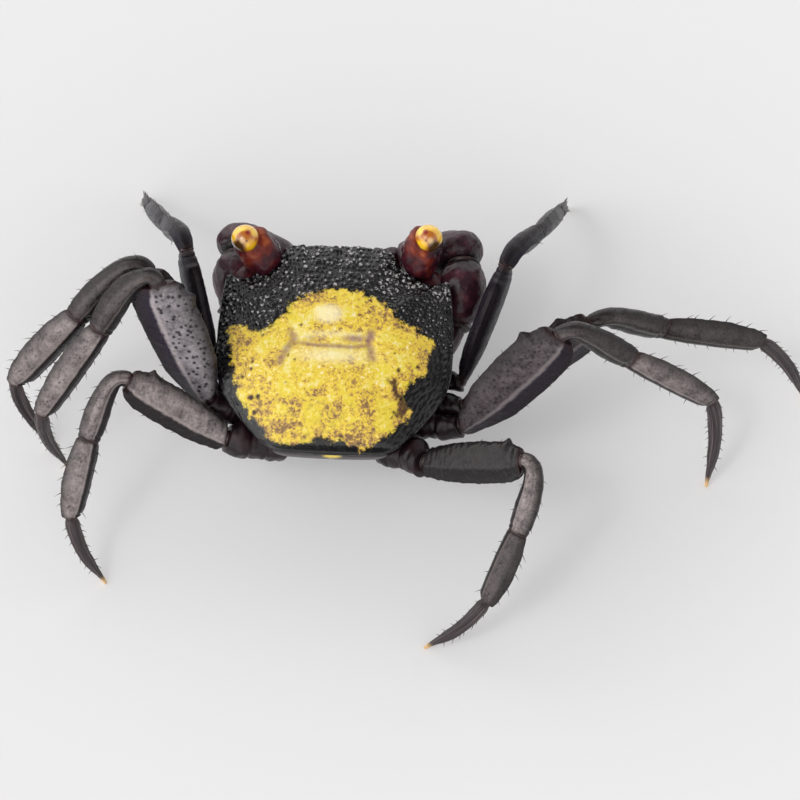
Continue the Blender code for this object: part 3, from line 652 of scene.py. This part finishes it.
# ------------------------------------------------------------------------------------- claws
# Two claw arms fold in front of the mouth: arm, round wrist, swollen palm and two fingers, hinged by
# soft dark membranes.  Their cuticle is thinner than the shell's, deep aubergine and a little clear.
CLAW_PARTS = ("merus", "carpus", "palm", "finger")
UPWARD = np.array((0.0, 0.0, 1.0))
CLAW_HINGE_HALF = 0.45
CLAW_HINGE_FULLNESS = 1.3


def flat_ends(node):
    """Middle, outward direction and mean radius of each flat end of a solid, in the room's millimetres."""
    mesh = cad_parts[node].data
    mesh.calc_loop_triangles()
    triangles = np.array([triangle.vertices[:] for triangle in mesh.loop_triangles])
    corners = read_points(mesh)[triangles] / MM
    normal = np.cross(corners[:, 1] - corners[:, 0], corners[:, 2] - corners[:, 0])
    area = np.linalg.norm(normal, axis=1)
    normal /= area[:, None]
    height = (normal * corners.mean(1)).sum(1)
    left = np.ones(len(corners), bool)
    ends = []
    for index in np.argsort(-area):
        if not left[index]:
            continue
        same = left & (normal @ normal[index] > 0.999) & (abs(height - height[index]) < 0.02)
        left &= ~same
        if same.sum() >= 6:
            ring = np.unique(corners[same].reshape(-1, 3).round(4), axis=0)
            middle = ring.mean(0)
            ends.append((middle, normal[index], np.linalg.norm(ring - middle, axis=1).mean()))
    return ends


def nearest_end(node, neighbour):
    target = read_points(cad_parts[neighbour].data).mean(0) / MM
    return min(flat_ends(node), key=lambda end: np.linalg.norm(end[0] - target))


def add_membrane(name, middle, along, up, half_length, tall, wide):
    """Soft folded skin between two stiff tubes: a barrel with three shallow folds."""
    select_only(bpy.context.object)
    bpy.ops.mesh.primitive_uv_sphere_add(segments=36, ring_count=28, radius=1)
    made = bpy.context.object
    made.name = name
    points = read_points(made.data)
    across = unit(np.cross(up, along))
    upward = np.cross(along, across)
    folds = 1 + 0.05 * np.cos(points[:, 2] * 3 * pi)
    placed = (points[:, :1] * across * wide + points[:, 1:2] * upward * tall) * folds[:, None]
    write_points(made.data, middle + placed + points[:, 2:] * along * half_length)
    return made


def join_pieces(name, pieces):
    select_only(pieces[0])
    for piece in pieces[1:]:
        piece.select_set(True)
    bpy.ops.object.join()
    pieces[0].name = name
    return pieces[0]


claw_look, tree, shader, here = new_material("aubergine_claw_cuticle")
crease_node = add_node(tree, "Attribute", attribute_name="crease")
cloud = add_node(tree, "TexNoise", {"Vector": here, "Scale": per(1.0), "Detail": 6.0, "Roughness": 0.65})
tone = add_node(tree, "ValToRGB", {"Fac": cloud}, stops=(
    (0.34, "#170A12"), (0.52, "#351722"), (0.68, "#5C2E38")))
colour = lay_tints(tree, tone, (crease_node.outputs["Fac"], 0, 1, 1, "#0F0A0D"))
grit = add_node(tree, "TexVoronoi", {"Vector": here, "Scale": per(0.22)})
bump = add_node(tree, "Bump", {"Height": grit, "Strength": 0.35, "Distance": 0.05 * MM}, invert=True)
set_inputs(tree, shader, {
    "Base Color": colour, "Normal": bump, "Roughness": 0.34, "IOR": 1.52, "Specular IOR Level": 0.35,
    "Subsurface Weight": 0.15, "Subsurface Radius": (1.0, 0.4, 0.7), "Subsurface Scale": 0.25 * MM})
membrane_look = brown_cuticle("soft_joint_membrane", "#150C0D", "#3A1D1B")

# The room's own millimetres, in which the floor is level.
room = Matrix.Scale(1 / MM, 4)
for hand in ("left", "right"):
    arm = f"claw_{hand}"
    wrist_start = nearest_end(f"{arm}_carpus", f"{arm}_merus")
    wrist_end = nearest_end(f"{arm}_carpus", f"{arm}_palm")
    hinge = np.array(body @ Vector(wrist_end[0] * MM))
    for part in CLAW_PARTS:
        claw, points, normals = smooth_copy(f"{arm}_{part}", f"{arm}_{part}_cuticle")
        reach = np.linalg.norm(points - hinge, axis=1)
        swell = 0.12 * bell(reach, 1.3, 0.6) if part in ("carpus", "palm") else 0.0
        waves = 0.07 * wave_noise(points, 0.9) + 0.03 * wave_noise(points, 0.25)
        points += normals * (0.05 + swell + waves)[:, None]
        write_points(claw.data, points)
        write_attribute(claw.data, "crease", smooth_step(1.2, 0.8, reach))
        finish_piece(claw, body, claw_look, "purple_claw_cuticle", f"{arm}_{part}")
    hinges = []
    for middle, outward, radius in (wrist_start, wrist_end):
        fullness = radius * CLAW_HINGE_FULLNESS
        hinges.append(add_membrane(f"{arm}_hinge_{len(hinges)}", middle, outward, UPWARD, CLAW_HINGE_HALF,
                                   fullness, fullness))
    finish_piece(join_pieces(f"{arm}_membranes", hinges), room, membrane_look, "purple_claw_cuticle")


# ------------------------------------------------------------------------------ walking legs
# Eight walking legs, each of a short base, a broad flat thigh with a tooth near its knee, a bent
# knee piece, a long shin and a curved pointed foot.  Every segment is a stiff tube of grey cuticle
# with keeled edges, hinged to the next by a soft dark membrane that shows as a thin line.
SEGMENTS = ("base", "merus", "carpus", "propodus", "dactyl")
BENT = ("base", "carpus", "dactyl")
AXIS_STEPS = 60
BEND = 0.36
# Sections, clockwise from the upper edge: across toward the leg's rear face, and up.
SECTIONS = {
    "base": ((0, 1), (0.55, 0.85), (0.97, 0.35), (0.95, -0.35), (0.5, -0.88), (0, -1),
             (-0.5, -0.88), (-0.95, -0.35), (-0.97, 0.35), (-0.55, 0.85)),
    "merus": ((0.0, 1.0), (0.10, 0.96), (0.42, 0.86), (0.74, 0.58), (0.93, 0.10), (1.0, -0.22), (0.98, -0.34),
              (0.84, -0.48), (0.62, -0.70), (0.46, -0.88), (0.36, -0.985), (0.24, -0.96), (-0.05, -0.90),
              (-0.34, -0.97), (-0.48, -0.90), (-0.74, -0.45), (-0.84, 0.05), (-0.72, 0.52), (-0.40, 0.84),
              (-0.10, 0.96)),
    "carpus": ((0.0, 1.0), (0.26, 0.95), (0.50, 0.74), (0.60, 0.52), (0.70, 0.46), (0.92, 0.30), (1.0, 0.10),
               (0.93, -0.12), (0.80, -0.30), (0.72, -0.52), (0.48, -0.82), (0.14, -1.0), (-0.30, -0.96),
               (-0.72, -0.62), (-0.92, -0.10), (-0.86, 0.42), (-0.50, 0.84), (-0.2, 0.97)),
    "propodus": ((0.0, 1.0), (0.14, 0.93), (0.36, 0.80), (0.74, 0.62), (0.95, 0.26), (1.0, -0.08),
                 (0.88, -0.48), (0.62, -0.72), (0.36, -0.84), (0.14, -0.94), (0.0, -1.0), (-0.14, -0.94),
                 (-0.38, -0.82), (-0.80, -0.52), (-0.94, 0.0), (-0.78, 0.56), (-0.38, 0.82), (-0.14, 0.93)),
    "dactyl": ((0.0, 1.0), (0.30, 0.80), (0.46, 0.56), (0.78, 0.50), (0.98, 0.10), (0.84, -0.30),
               (0.48, -0.46), (0.40, -0.78), (0.0, -1.0), (-0.40, -0.78), (-0.48, -0.46), (-0.84, -0.30),
               (-0.98, 0.10), (-0.78, 0.50), (-0.46, 0.56), (-0.30, 0.80)),
}
# Faces around and along each segment.
MESH = {"base": (40, 60), "merus": (60, 150), "carpus": (60, 90), "propodus": (56, 140), "dactyl": (48, 110)}
# The rings of each end: how full they are, and how far along the segment.
END_SWELL = np.array((0.0, 0.45, 0.82, 0.95, 1.0))
END_INSET = np.array((0.0, 0.0, 0.0, 0.004, 0.012))
BASE_STOUTNESS = {1: 0.06, 2: 0.10, 3: 0.18, 4: 0.26}
LEG_HINGE_HALF = 0.34
LEG_HINGE_FULLNESS = 0.92
# Painted sheen falls on the leg faces that turn to this side, up and toward the lamp.
SHEEN_SIDE = (-0.25, -0.35, 0.90)
WRINKLE_GAP = 0.16


def solid_points(node):
    return read_points(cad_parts[node].data) / MM


def smooth_row(values, width):
    """Round off the corners of a row of sizes."""
    reach = int(width * 3)
    window = np.exp(-(np.arange(-reach, reach + 1) / width) ** 2)
    padded = np.concatenate([np.repeat(values[:1], reach), values, np.repeat(values[-1:], reach)])
    return np.convolve(padded, window / window.sum(), "valid")


def measure_limb(node, start, leave, end, arrive, side, sign, kind):
    """Axis of a leg segment and the reach of its solid up, down, rearward and forward along it."""
    share = np.linspace(0, 1, AXIS_STEPS)[:, None]
    if kind in BENT:
        handle = np.linalg.norm(end - start) * BEND
        first, second = start + leave * handle, end - arrive * handle
        axis = (start * (1 - share) ** 3 + first * 3 * share * (1 - share) ** 2
                + second * 3 * share ** 2 * (1 - share) + end * share ** 3)
        along = unit(np.gradient(axis, axis=0))
    else:
        axis = start * (1 - share) + end * share
        along = np.repeat(unit(end - start)[None], AXIS_STEPS, 0)
        for blend, way in ((smooth_step(0.10, 0.0, share), leave), (smooth_step(0.90, 1.0, share), arrive)):
            along = unit(along * (1 - blend) + way * blend)
    across = unit(side - along * (along @ side)[:, None])
    up, rear = np.cross(across, along), across * sign
    # Each corner of the solid is measured from the nearest station of the axis, a ring at a time.
    corners = np.unique(solid_points(node).round(4), axis=0)
    nearest = np.linalg.norm(corners[:, None] - axis[None], axis=2).argmin(1)
    offset = corners - axis[nearest]
    step = np.linalg.norm(end - start) / (AXIS_STEPS - 1)
    where = nearest / (AXIS_STEPS - 1) + (offset * along[nearest]).sum(1) / step / (AXIS_STEPS - 1)
    height, width = (offset * up[nearest]).sum(1), (offset * rear[nearest]).sum(1)
    order = where.argsort()
    ring = 8 if kind in ("base", "dactyl") else 10
    rows = [order[first:first + ring] for first in range(0, len(order) - ring // 2, ring)]
    stations = np.array([where[row].mean() for row in rows])
    reaches = []
    for values in (height, -height, width, -width):
        reach = np.interp(share[:, 0], stations, [values[row].max() for row in rows])
        reaches.append(smooth_row(np.maximum(reach, 0.02), 1.1))
    reaches = np.array(reaches)
    # A foot thins to a point past its solid's blunt one.
    if kind == "dactyl":
        reaches *= 1 - 0.6 * smooth_step(0.60, 1.0, share[:, 0])
    return {"axis": axis, "along": along, "rear": rear, "up": up, "reach": reaches,
            "length": np.linalg.norm(np.diff(axis, axis=0), axis=1).sum()}


def limb_surface(limb, kind, share, around, swell=1.0):
    """Point on a segment at a share of its length and of its girth, and its place in the section."""
    section = closed_curve(SECTIONS[kind], 8)
    step = np.clip(share, 0, 1) * (AXIS_STEPS - 1)
    low = np.minimum(step.astype(int), AXIS_STEPS - 2)
    part = (step - low)[:, None]

    def along_axis(rows):
        return rows[low] * (1 - part) + rows[low + 1] * part

    place = around * len(section)
    first = place.astype(int) % len(section)
    part_round = (place - place.astype(int))[:, None]
    profile = section[first] * (1 - part_round) + section[(first + 1) % len(section)] * part_round
    up, down, rear, front = along_axis(limb["reach"].T).T
    across = profile[:, 0] * np.where(profile[:, 0] > 0, rear, front) * swell
    above = profile[:, 1] * np.where(profile[:, 1] > 0, up, down) * swell
    outward = along_axis(limb["up"]) * above[:, None] + along_axis(limb["rear"]) * across[:, None]
    return along_axis(limb["axis"]) + outward, profile, unit(outward + 1e-9)


def face_outward(thing):
    select_only(thing)
    bpy.ops.object.mode_set(mode="EDIT")
    bpy.ops.mesh.select_all(action="SELECT")
    bpy.ops.mesh.normals_make_consistent(inside=False)
    bpy.ops.object.mode_set(mode="OBJECT")


def grow_limb(name, limb, kind, relief):
    """Lay a ball's rings along a segment, the first and last of them drawn in to close its ends."""
    girth, rings = MESH[kind]
    select_only(bpy.context.object)
    bpy.ops.mesh.primitive_uv_sphere_add(segments=girth, ring_count=rings, radius=1)
    made = bpy.context.object
    made.name = name
    points = read_points(made.data)
    ring = np.rint(np.arccos(np.clip(points[:, 2], -1, 1)) / pi * rings)
    around = (np.arctan2(points[:, 0], points[:, 1]) / (2 * pi)) % 1.0
    from_end = np.minimum(ring, rings - ring).astype(int)
    end_ring = np.minimum(from_end, 4)
    swell = END_SWELL[end_ring]
    evenly = END_INSET[4] + (from_end - 4) * (0.5 - END_INSET[4]) / (rings / 2 - 4)
    near = np.where(from_end < 5, END_INSET[end_ring], evenly)
    share = np.where(ring <= rings / 2, near, 1 - near)
    placed, profile, outward = limb_surface(limb, kind, share, around, swell)
    length = share * limb["length"]
    placed += outward * (relief(share, profile, length, placed) * swell ** 3)[:, None]
    write_points(made.data, placed)
    write_attribute(made.data, "limb", np.stack([share, profile[:, 1], profile[:, 0]], 1))
    write_attribute(made.data, "length", length)
    face_outward(made)
    # Painted sheen: how far each face turns to the lamp's side sets the pale sheen painted on it.
    facing = read_normals(made.data) @ unit(np.array(SHEEN_SIDE))
    write_attribute(made.data, "painted_sheen", smooth_step(0.1, 0.85, facing))
    return made


def relief_for(kind, number):
    """Carving of one segment, in millimetres outward, by its place along and across the segment."""
    def base(share, profile, length, placed):
        waists = bell(share, 0.36, 0.03) + bell(share, 0.64, 0.03)
        bumps = 0.16 * wave_noise(placed, 0.8) + 0.06 * wave_noise(placed, 0.35)
        return BASE_STOUTNESS[number] + bumps - 0.06 * waists

    def merus(share, profile, length, placed):
        across, height = profile.T
        tooth = bell(share, 0.865, 0.022) * (share < 0.885) * smooth_step(0.80, 0.98, height)
        long_waves = np.stack([(length + height * 0.5) / WRINKLE_GAP, height * 1.1, across * 1.1], 1)
        collar = bell(share, 0.945, 0.012) * (height > -0.7)
        grains = 0.045 * wave_noise(placed, 0.20) if number == 4 else 0
        waves = 0.008 * wave_noise(long_waves, 1.0) + 0.02 * wave_noise(placed, 0.35)
        return 0.12 * tooth + waves + grains - 0.05 * collar

    def carpus(share, profile, length, placed):
        return 0.02 * wave_noise(placed, 0.4) - 0.04 * bell(share, 0.94, 0.015)

    def propodus(share, profile, length, placed):
        keels = smooth_step(0.88, 1.0, abs(profile[:, 1]))
        worn = 0.03 * wave_noise(placed, 0.3) * keels
        return worn + 0.012 * wave_noise(placed, 0.5) - 0.04 * bell(share, 0.955, 0.015)

    def dactyl(share, profile, length, placed):
        return 0.012 * wave_noise(placed, 0.3)

    return {"base": base, "merus": merus, "carpus": carpus, "propodus": propodus, "dactyl": dactyl}[kind]


def leg_cuticle(name, face, shade, facet, ridge, painted_sheen, spots, striae, gleam):
    """Dark leg cuticle, waxy rather than glassy; a pale painted sheen lies on its upward faces.

    Pigment spots about 0.12 mm across stand some 0.3 mm apart; the wrinkles are 0.16 mm apart.
    """
    look, tree, shader, here = new_material(name)
    limb = add_node(tree, "Attribute", attribute_name="limb")
    along, height, across = add_node(tree, "SeparateXYZ", {0: limb.outputs["Vector"]}).outputs
    mottle = add_node(tree, "TexNoise", {"Vector": here, "Scale": per(0.7), "Detail": 5.0, "Roughness": 0.65})
    fine = add_node(tree, "TexNoise", {"Vector": here, "Scale": per(0.13), "Detail": 4.0, "Roughness": 0.75})
    tone = add_node(tree, "ValToRGB", {"Fac": mottle}, stops=((0.28, shade), (0.72, face)))
    # Painted sheen: a pale tint laid on the faces turned to the lamp, broken up by fine noise.
    lit = add_node(tree, "Attribute", attribute_name="painted_sheen")
    worn = add_node(tree, "Math", {0: fine, 1: 0.8, 2: mottle}, operation="MULTIPLY_ADD")
    sheen_share = add_node(tree, "MapRange", {"Value": worn, "From Min": 0.58, "From Max": 1.22})
    pale = add_node(tree, "Math", {0: sheen_share, 1: lit.outputs["Fac"]}, operation="MULTIPLY")
    dots = add_node(tree, "TexVoronoi", {"Vector": here, "Scale": per(0.30), "Randomness": 0.75})
    # The lower facet is painted dark purple, partly as shade, the ridge above it is painted pale as a
    # highlight, and both keels are dark.
    sway = add_node(tree, "Math", {0: mottle, 1: 0.14, 2: height}, operation="MULTIPLY_ADD")
    off_ridge = add_node(tree, "Math", {0: sway, 1: 0.20}, operation="ADD")
    from_ridge = add_node(tree, "Math", {0: off_ridge}, operation="ABSOLUTE")
    to_keel = add_node(tree, "Math", {0: height}, operation="ABSOLUTE")
    # Both ends are stained brown where the joint's membrane starts.
    off_middle = add_node(tree, "Math", {0: along, 1: -0.5}, operation="ADD")
    to_end = add_node(tree, "Math", {0: off_middle}, operation="ABSOLUTE")
    colour = lay_tints(
        tree, tone, (pale, 0, 1, 1, painted_sheen), (fine, 0.46, 0.34, 0.30, shade),
        (dots, 0.38, 0.27, spots, "#1D191D"), (sway, -0.22, -0.36, 1, facet),
        (from_ridge, 0.12, 0.02, 0.55, ridge), (to_keel, 0.40, 0.98, 0.85, "#1B1618"),
        (to_end, 0.455, 0.495, 0.8, "#291719"))
    length = add_node(tree, "Attribute", attribute_name="length")
    slant = add_node(tree, "Math", {0: height, 1: 0.5, 2: length.outputs["Fac"]}, operation="MULTIPLY_ADD")
    row = add_node(tree, "Math", {0: slant, 1: 1 / WRINKLE_GAP}, operation="MULTIPLY")
    lines = add_node(tree, "CombineXYZ", {"X": row, "Y": height, "Z": across})
    wrinkle = add_node(tree, "TexNoise", {"Vector": lines, "Scale": 1.0, "Detail": 2.0})
    relief = add_node(tree, "Math", {0: wrinkle, 1: striae, 2: fine}, operation="MULTIPLY_ADD")
    bump = add_node(tree, "Bump", {"Height": relief, "Strength": 0.5, "Distance": 0.03 * MM})
    rough = add_node(tree, "MapRange", {"Value": mottle, "To Min": 0.16, "To Max": 0.40})
    set_inputs(tree, shader, {"Base Color": colour, "Roughness": rough, "Normal": bump, "IOR": 1.55,
                              "Specular IOR Level": gleam})
    return look


def foot_cuticle(name, groove, side, ridge):
    """Foot: darker than the shin, with pale and dark streaks along it, and an amber claw at the tip."""
    look, tree, shader, here = new_material(name)
    limb = add_node(tree, "Attribute", attribute_name="limb").outputs["Vector"]
    along, _, _ = add_node(tree, "SeparateXYZ", {0: limb}).outputs
    stretch = add_node(tree, "Mapping", {0: limb, "Scale": (1.2, 7.0, 7.0)})
    streak = add_node(tree, "TexNoise", {"Vector": stretch, "Scale": 1.0, "Detail": 3.0})
    tone = add_node(tree, "ValToRGB", {"Fac": streak}, stops=((0.32, groove), (0.55, side), (0.74, ridge)))
    colour = lay_tints(tree, tone, (along, 0.88, 0.96, 1, "#D9B27C"))
    fine = add_node(tree, "TexNoise", {"Vector": here, "Scale": per(0.12), "Detail": 3.0})
    bump = add_node(tree, "Bump", {"Height": fine, "Strength": 0.4, "Distance": 0.03 * MM})
    set_inputs(tree, shader, {"Base Color": colour, "Normal": bump, "Roughness": 0.38, "IOR": 1.55,
                              "Specular IOR Level": 0.3})
    return look


# Lit and shaded copies: the lighter ones paint light on the legs that stand lit, the darker ones paint shade
# on the others. Columns: name, face, shade, lower facet, ridge, sheen, spots, wrinkles, gleam.
lit_speckled, shaded_speckled, wrinkled, violet, lit_smooth, dark = (leg_cuticle(*finish) for finish in (
    ("lit_speckled_cuticle", "#625C60", "#2C272B", "#1A0F22", "#A89EA0", "#A29A9E", 0.9, 0.3, 0.22),
    ("shaded_speckled_cuticle", "#363032", "#191518", "#160B1C", "#8C8284", "#6A6063", 0.6, 0.3, 0.15),
    ("dark_grained_cuticle", "#171515", "#0E0C0D", "#0D0B0D", "#2A2727", "#302C2C", 0.2, 0.4, 0.24),
    ("dark_violet_cuticle", "#191620", "#0F0C14", "#0D0A14", "#2B2733", "#2E2A35", 0.2, 0.3, 0.12),
    ("lit_smooth_cuticle", "#504847", "#262122", "#191216", "#988D8B", "#A89C9A", 0.15, 0.3, 0.22),
    ("shaded_smooth_cuticle", "#2A2524", "#161212", "#131010", "#6A605E", "#625958", 0.15, 0.4, 0.22),
))
base_look = brown_cuticle("red_brown_joint_cuticle", "#0D080C", "#2B171C", gleam=0.25)
brown_foot = foot_cuticle("brown_foot_cuticle", "#1F1719", "#3A3033", "#7C7070")
dark_foot = foot_cuticle("dark_foot_cuticle", "#120F14", "#1A161C", "#2E2A32")
# Thigh, knee, shin and foot of each leg.
leg_looks = {
    "leg1_left": (violet, violet, violet, dark_foot),
    "leg2_left": (shaded_speckled, dark, lit_smooth, brown_foot),
    "leg3_left": (lit_speckled, dark, lit_smooth, brown_foot),
    "leg4_left": (lit_smooth, lit_smooth, lit_smooth, brown_foot),
    "leg1_right": (violet, violet, violet, dark_foot),
    "leg2_right": (shaded_speckled, dark, dark, brown_foot),
    "leg3_right": (shaded_speckled, dark, lit_smooth, brown_foot),
    "leg4_right": (wrinkled, lit_smooth, dark, brown_foot),
}

limbs = {}
for leg, looks in leg_looks.items():
    number = int(leg[3])
    sign = -1 if leg.endswith("left") else 1
    nodes = {kind: f"{leg}_{kind}" for kind in SEGMENTS}
    starts, ends = {"base": nearest_end(nodes["base"], "sternum")}, {}
    for inner, outer in zip(SEGMENTS, SEGMENTS[1:]):
        ends[inner] = nearest_end(nodes[inner], nodes[outer])
        starts[outer] = nearest_end(nodes[outer], nodes[inner])
    foot = solid_points(nodes["dactyl"])
    foot_print = foot[foot[:, 2] < 0.01].mean(0)
    heel = foot[np.linalg.norm(foot - foot_print, axis=1) > 1.0].mean(0)
    ends["dactyl"] = (foot_print, unit(foot_print - heel))
    thigh = unit(ends["merus"][0] - starts["merus"][0])
    side = unit(np.cross(foot_print - starts["propodus"][0], thigh))
    for kind, look in zip(SEGMENTS, (base_look, *looks)):
        start, leave = starts[kind][0], -starts[kind][1]
        end, arrive = ends[kind][:2]
        limb = measure_limb(nodes[kind], start, leave, end, arrive, side, sign, kind)
        limbs[leg, kind] = limb
        part = grow_limb(f"{nodes[kind]}_cuticle", limb, kind, relief_for(kind, number))
        # Nothing sinks into the floor.
        points = read_points(part.data)
        points[:, 2] = np.maximum(points[:, 2], 0.0)
        write_points(part.data, points)
        slot = "brown_joint_cuticle" if kind == "base" else "grey_leg_cuticle"
        finish_piece(part, room, look, slot, nodes[kind])
    hinges = []
    for inner, outer in zip(SEGMENTS, SEGMENTS[1:]):
        near, far = limbs[leg, inner], limbs[leg, outer]
        up, down = np.minimum(near["reach"][:2, -2], far["reach"][:2, 1])
        wide = min(near["reach"][2:, -2].mean(), far["reach"][2:, 1].mean())
        middle = (ends[inner][0] + starts[outer][0]) / 2 + near["up"][-1] * (up - down) / 2
        along = unit(ends[inner][1] - starts[outer][1])
        hinges.append(add_membrane(f"{leg}_hinge_{inner}", middle, along, near["up"][-1], LEG_HINGE_HALF,
                                   (up + down) / 2 * LEG_HINGE_FULLNESS, wide * LEG_HINGE_FULLNESS))
    finish_piece(join_pieces(f"{leg}_membranes", hinges), room, membrane_look, "brown_joint_cuticle")


# -------------------------------------------------------------------------------- bristles
# Stiff black setae stand in loose rows along the keels of knees, shins and feet, rooted in the
# cuticle and leaning toward the foot.  Real ones are finer: these are 0.06 mm thick, so that they show.
BRISTLE_RADIUS = 0.028
BRISTLE_ROOT = 0.04  # sunk in the cuticle
BRISTLE_SIDES = 5
BRISTLE_ROWS = 4
BAKE_PATCH = 0.003
# Each row: corner of the segment's section, first and last share of its length, spacing, bristle length.
KEELS = {
    "merus": ((0, 0.35, 0.97, 1.3, 0.20), (10, 0.3, 0.95, 1.6, 0.18)),
    "carpus": ((0, 0.15, 0.95, 0.62, 0.34), (6, 0.25, 0.9, 0.9, 0.28), (11, 0.4, 0.95, 0.9, 0.28)),
    "propodus": ((0, 0.06, 0.97, 0.72, 0.36), (9, 0.08, 0.97, 0.72, 0.34), (4, 0.1, 0.95, 1.3, 0.24)),
    "dactyl": ((0, 0.05, 0.80, 0.42, 0.26), (8, 0.05, 0.80, 0.42, 0.24), (4, 0.1, 0.75, 0.6, 0.2)),
}


def bristle_rows(limb, kind, chance):
    """Root, direction, bend, length and place on the segment of each bristle."""
    found = []
    for corner, first, last, spacing, tall in KEELS[kind]:
        count = max(int(limb["length"] * (last - first) / spacing), 1)
        share = first + (last - first) * (np.arange(count) + chance.uniform(0.2, 0.8, count)) / count
        around = (corner + chance.normal(0, 0.25, count)) / len(SECTIONS[kind]) % 1.0
        root, _, outward = limb_surface(limb, kind, share, around)
        along = limb["along"][np.rint(share * (AXIS_STEPS - 1)).astype(int)]
        lean = along * chance.uniform(0.25, 0.8, (count, 1))
        way = unit(outward + lean + chance.normal(0, 0.18, (count, 3)))
        for index in range(count):
            found.append((root[index] - way[index] * BRISTLE_ROOT, way[index], along[index],
                          tall * chance.uniform(0.6, 1.15), share[index], around[index]))
    return found


def grow_bristles(name, bristles):
    """Curved tapering spines in one mesh; each is a small UV patch at its place on the leg's unwrap."""
    corners, faces, patches = [], [], []
    turn = np.arange(BRISTLE_SIDES) * 2 * pi / BRISTLE_SIDES
    for root, way, along, tall, u, v in bristles:
        side = unit(np.cross(way, along) + 1e-6)
        across = np.cross(way, side)
        first = len(corners)
        for t in np.arange(BRISTLE_ROWS) / (BRISTLE_ROWS - 1):
            centre = root + way * tall * t + along * tall * 0.25 * t * t
            girth = BRISTLE_RADIUS * (1 - 0.85 * t)
            spread = BAKE_PATCH / 2 * (1 - 0.8 * t)
            for angle in turn:
                corners.append(centre + (side * cos(angle) + across * sin(angle)) * girth)
                patches.append((u + cos(angle) * spread, v + sin(angle) * spread))
        rings = np.arange(first, len(corners)).reshape(BRISTLE_ROWS, BRISTLE_SIDES).tolist()
        for low, high in zip(rings, rings[1:]):
            for step in range(BRISTLE_SIDES):
                after = (step + 1) % BRISTLE_SIDES
                faces.append((low[step], low[after], high[after], high[step]))
        faces += [rings[0][::-1], rings[-1]]
    mesh = bpy.data.meshes.new(name)
    mesh.from_pydata(corners, [], faces)
    unwrap = mesh.uv_layers.new(name="OFBake")
    for loop in mesh.loops:
        unwrap.data[loop.index].uv = patches[loop.vertex_index]
    made = bpy.data.objects.new(name, mesh)
    bpy.context.collection.objects.link(made)
    face_outward(made)
    return made


# Horny bristle: near black at the root and a little browner and clearer toward its point.
bristle_look, tree, shader, here = new_material("black_horn_bristle")
cloud = add_node(tree, "TexNoise", {"Vector": here, "Scale": per(0.3), "Detail": 2.0})
tone = add_node(tree, "ValToRGB", {"Fac": cloud}, stops=((0.3, "#120E0E"), (0.7, "#33251F")))
set_inputs(tree, shader, {"Base Color": tone, "Roughness": 0.35, "IOR": 1.55})

chance = np.random.default_rng(11)
# Unwrap of a leg: its segments side by side, length across the map and girth up it.
for leg in sorted(leg_looks):
    bristles = []
    for strip, kind in enumerate(KEELS):
        for *shape, share, around in bristle_rows(limbs[leg, kind], kind, chance):
            bristles.append((*shape, (strip + 0.02 + 0.96 * share) / len(KEELS), 0.01 + 0.98 * around))
    coat = grow_bristles(f"{leg}_bristles", bristles)
    finish_piece(coat, room, bristle_look, "grey_leg_cuticle")


# ------------------------------------------------------------------------------------ studio
# A plain pale floor inside a white tent, brightest at the left and dim straight overhead, so that the
# shell stays black; a broad lamp stands high to the left, a little on the viewer's side, and a small
# one in its middle gives the glints.
FLOOR_WIDTH = 1.6
# Lamps: strength and width in degrees.
LAMPS = (("broad_lamp", 0.38, 40), ("small_lamp", 0.24, 12))
LAMP_WAY = Vector((-0.45, -0.35, 0.82))
AZIMUTH, ELEVATION = radians(2.5), radians(60)
DISTANCE = 0.26
LENS = 233.4
AIM = Vector((3.3, -1.1, -3.0)) * MM  # from the middle of the shell

bpy.ops.mesh.primitive_plane_add(size=FLOOR_WIDTH, location=(0, 0, 0))
floor = bpy.context.object
floor.name = "floor"
floor_look, tree, shader, here = new_material("white_card")
cloud = add_node(tree, "TexNoise", {"Vector": here, "Scale": 12.0})
tone = add_node(tree, "ValToRGB", {"Fac": cloud}, stops=((0.0, "#E6E5E6"), (1.0, "#EAE9E9")))
set_inputs(tree, shader, {"Base Color": tone, "Roughness": 0.9, "Specular IOR Level": 0.2})
floor.data.materials.append(floor_look)

scene = bpy.context.scene
scene.view_settings.view_transform = "Standard"
tent = bpy.data.worlds.new("white_tent")
tent.use_nodes = True
tree = tent.node_tree
way = add_node(tree, "TexCoord").outputs["Generated"]
rightward, _, upward = add_node(tree, "SeparateXYZ", {0: way}).outputs
walls = add_node(tree, "MapRange", {"Value": rightward, "From Min": -0.7, "From Max": 0.7,
                                    "To Min": 2.15, "To Max": 1.05})
roof = add_node(tree, "MapRange", {"Value": upward, "From Min": 0.55, "From Max": 0.85,
                                   "To Min": 1.0, "To Max": 0.16})
glow = add_node(tree, "Math", {0: walls, 1: roof}, operation="MULTIPLY")
set_inputs(tree, tree.nodes["Background"], {"Color": "#FFFFFF", "Strength": glow})
scene.world = tent

for name, power, spread in LAMPS:
    lamp = bpy.data.objects.new(name, bpy.data.lights.new(name, "SUN"))
    lamp.data.energy = power
    lamp.data.angle = radians(spread)
    lamp.rotation_euler = LAMP_WAY.to_track_quat("Z", "Y").to_euler()
    bpy.context.collection.objects.link(lamp)

back = Vector((sin(AZIMUTH) * cos(ELEVATION), -cos(AZIMUTH) * cos(ELEVATION), sin(ELEVATION)))
camera = bpy.data.objects.new("camera", bpy.data.cameras.new("camera"))
camera.data.lens = LENS
camera.data.sensor_width = 36.0
camera.data.clip_start = 0.01
camera.location = body.inverted().translation + AIM + back * DISTANCE
camera.rotation_euler = back.to_track_quat("Z", "Y").to_euler()
bpy.context.collection.objects.link(camera)
scene.camera = camera
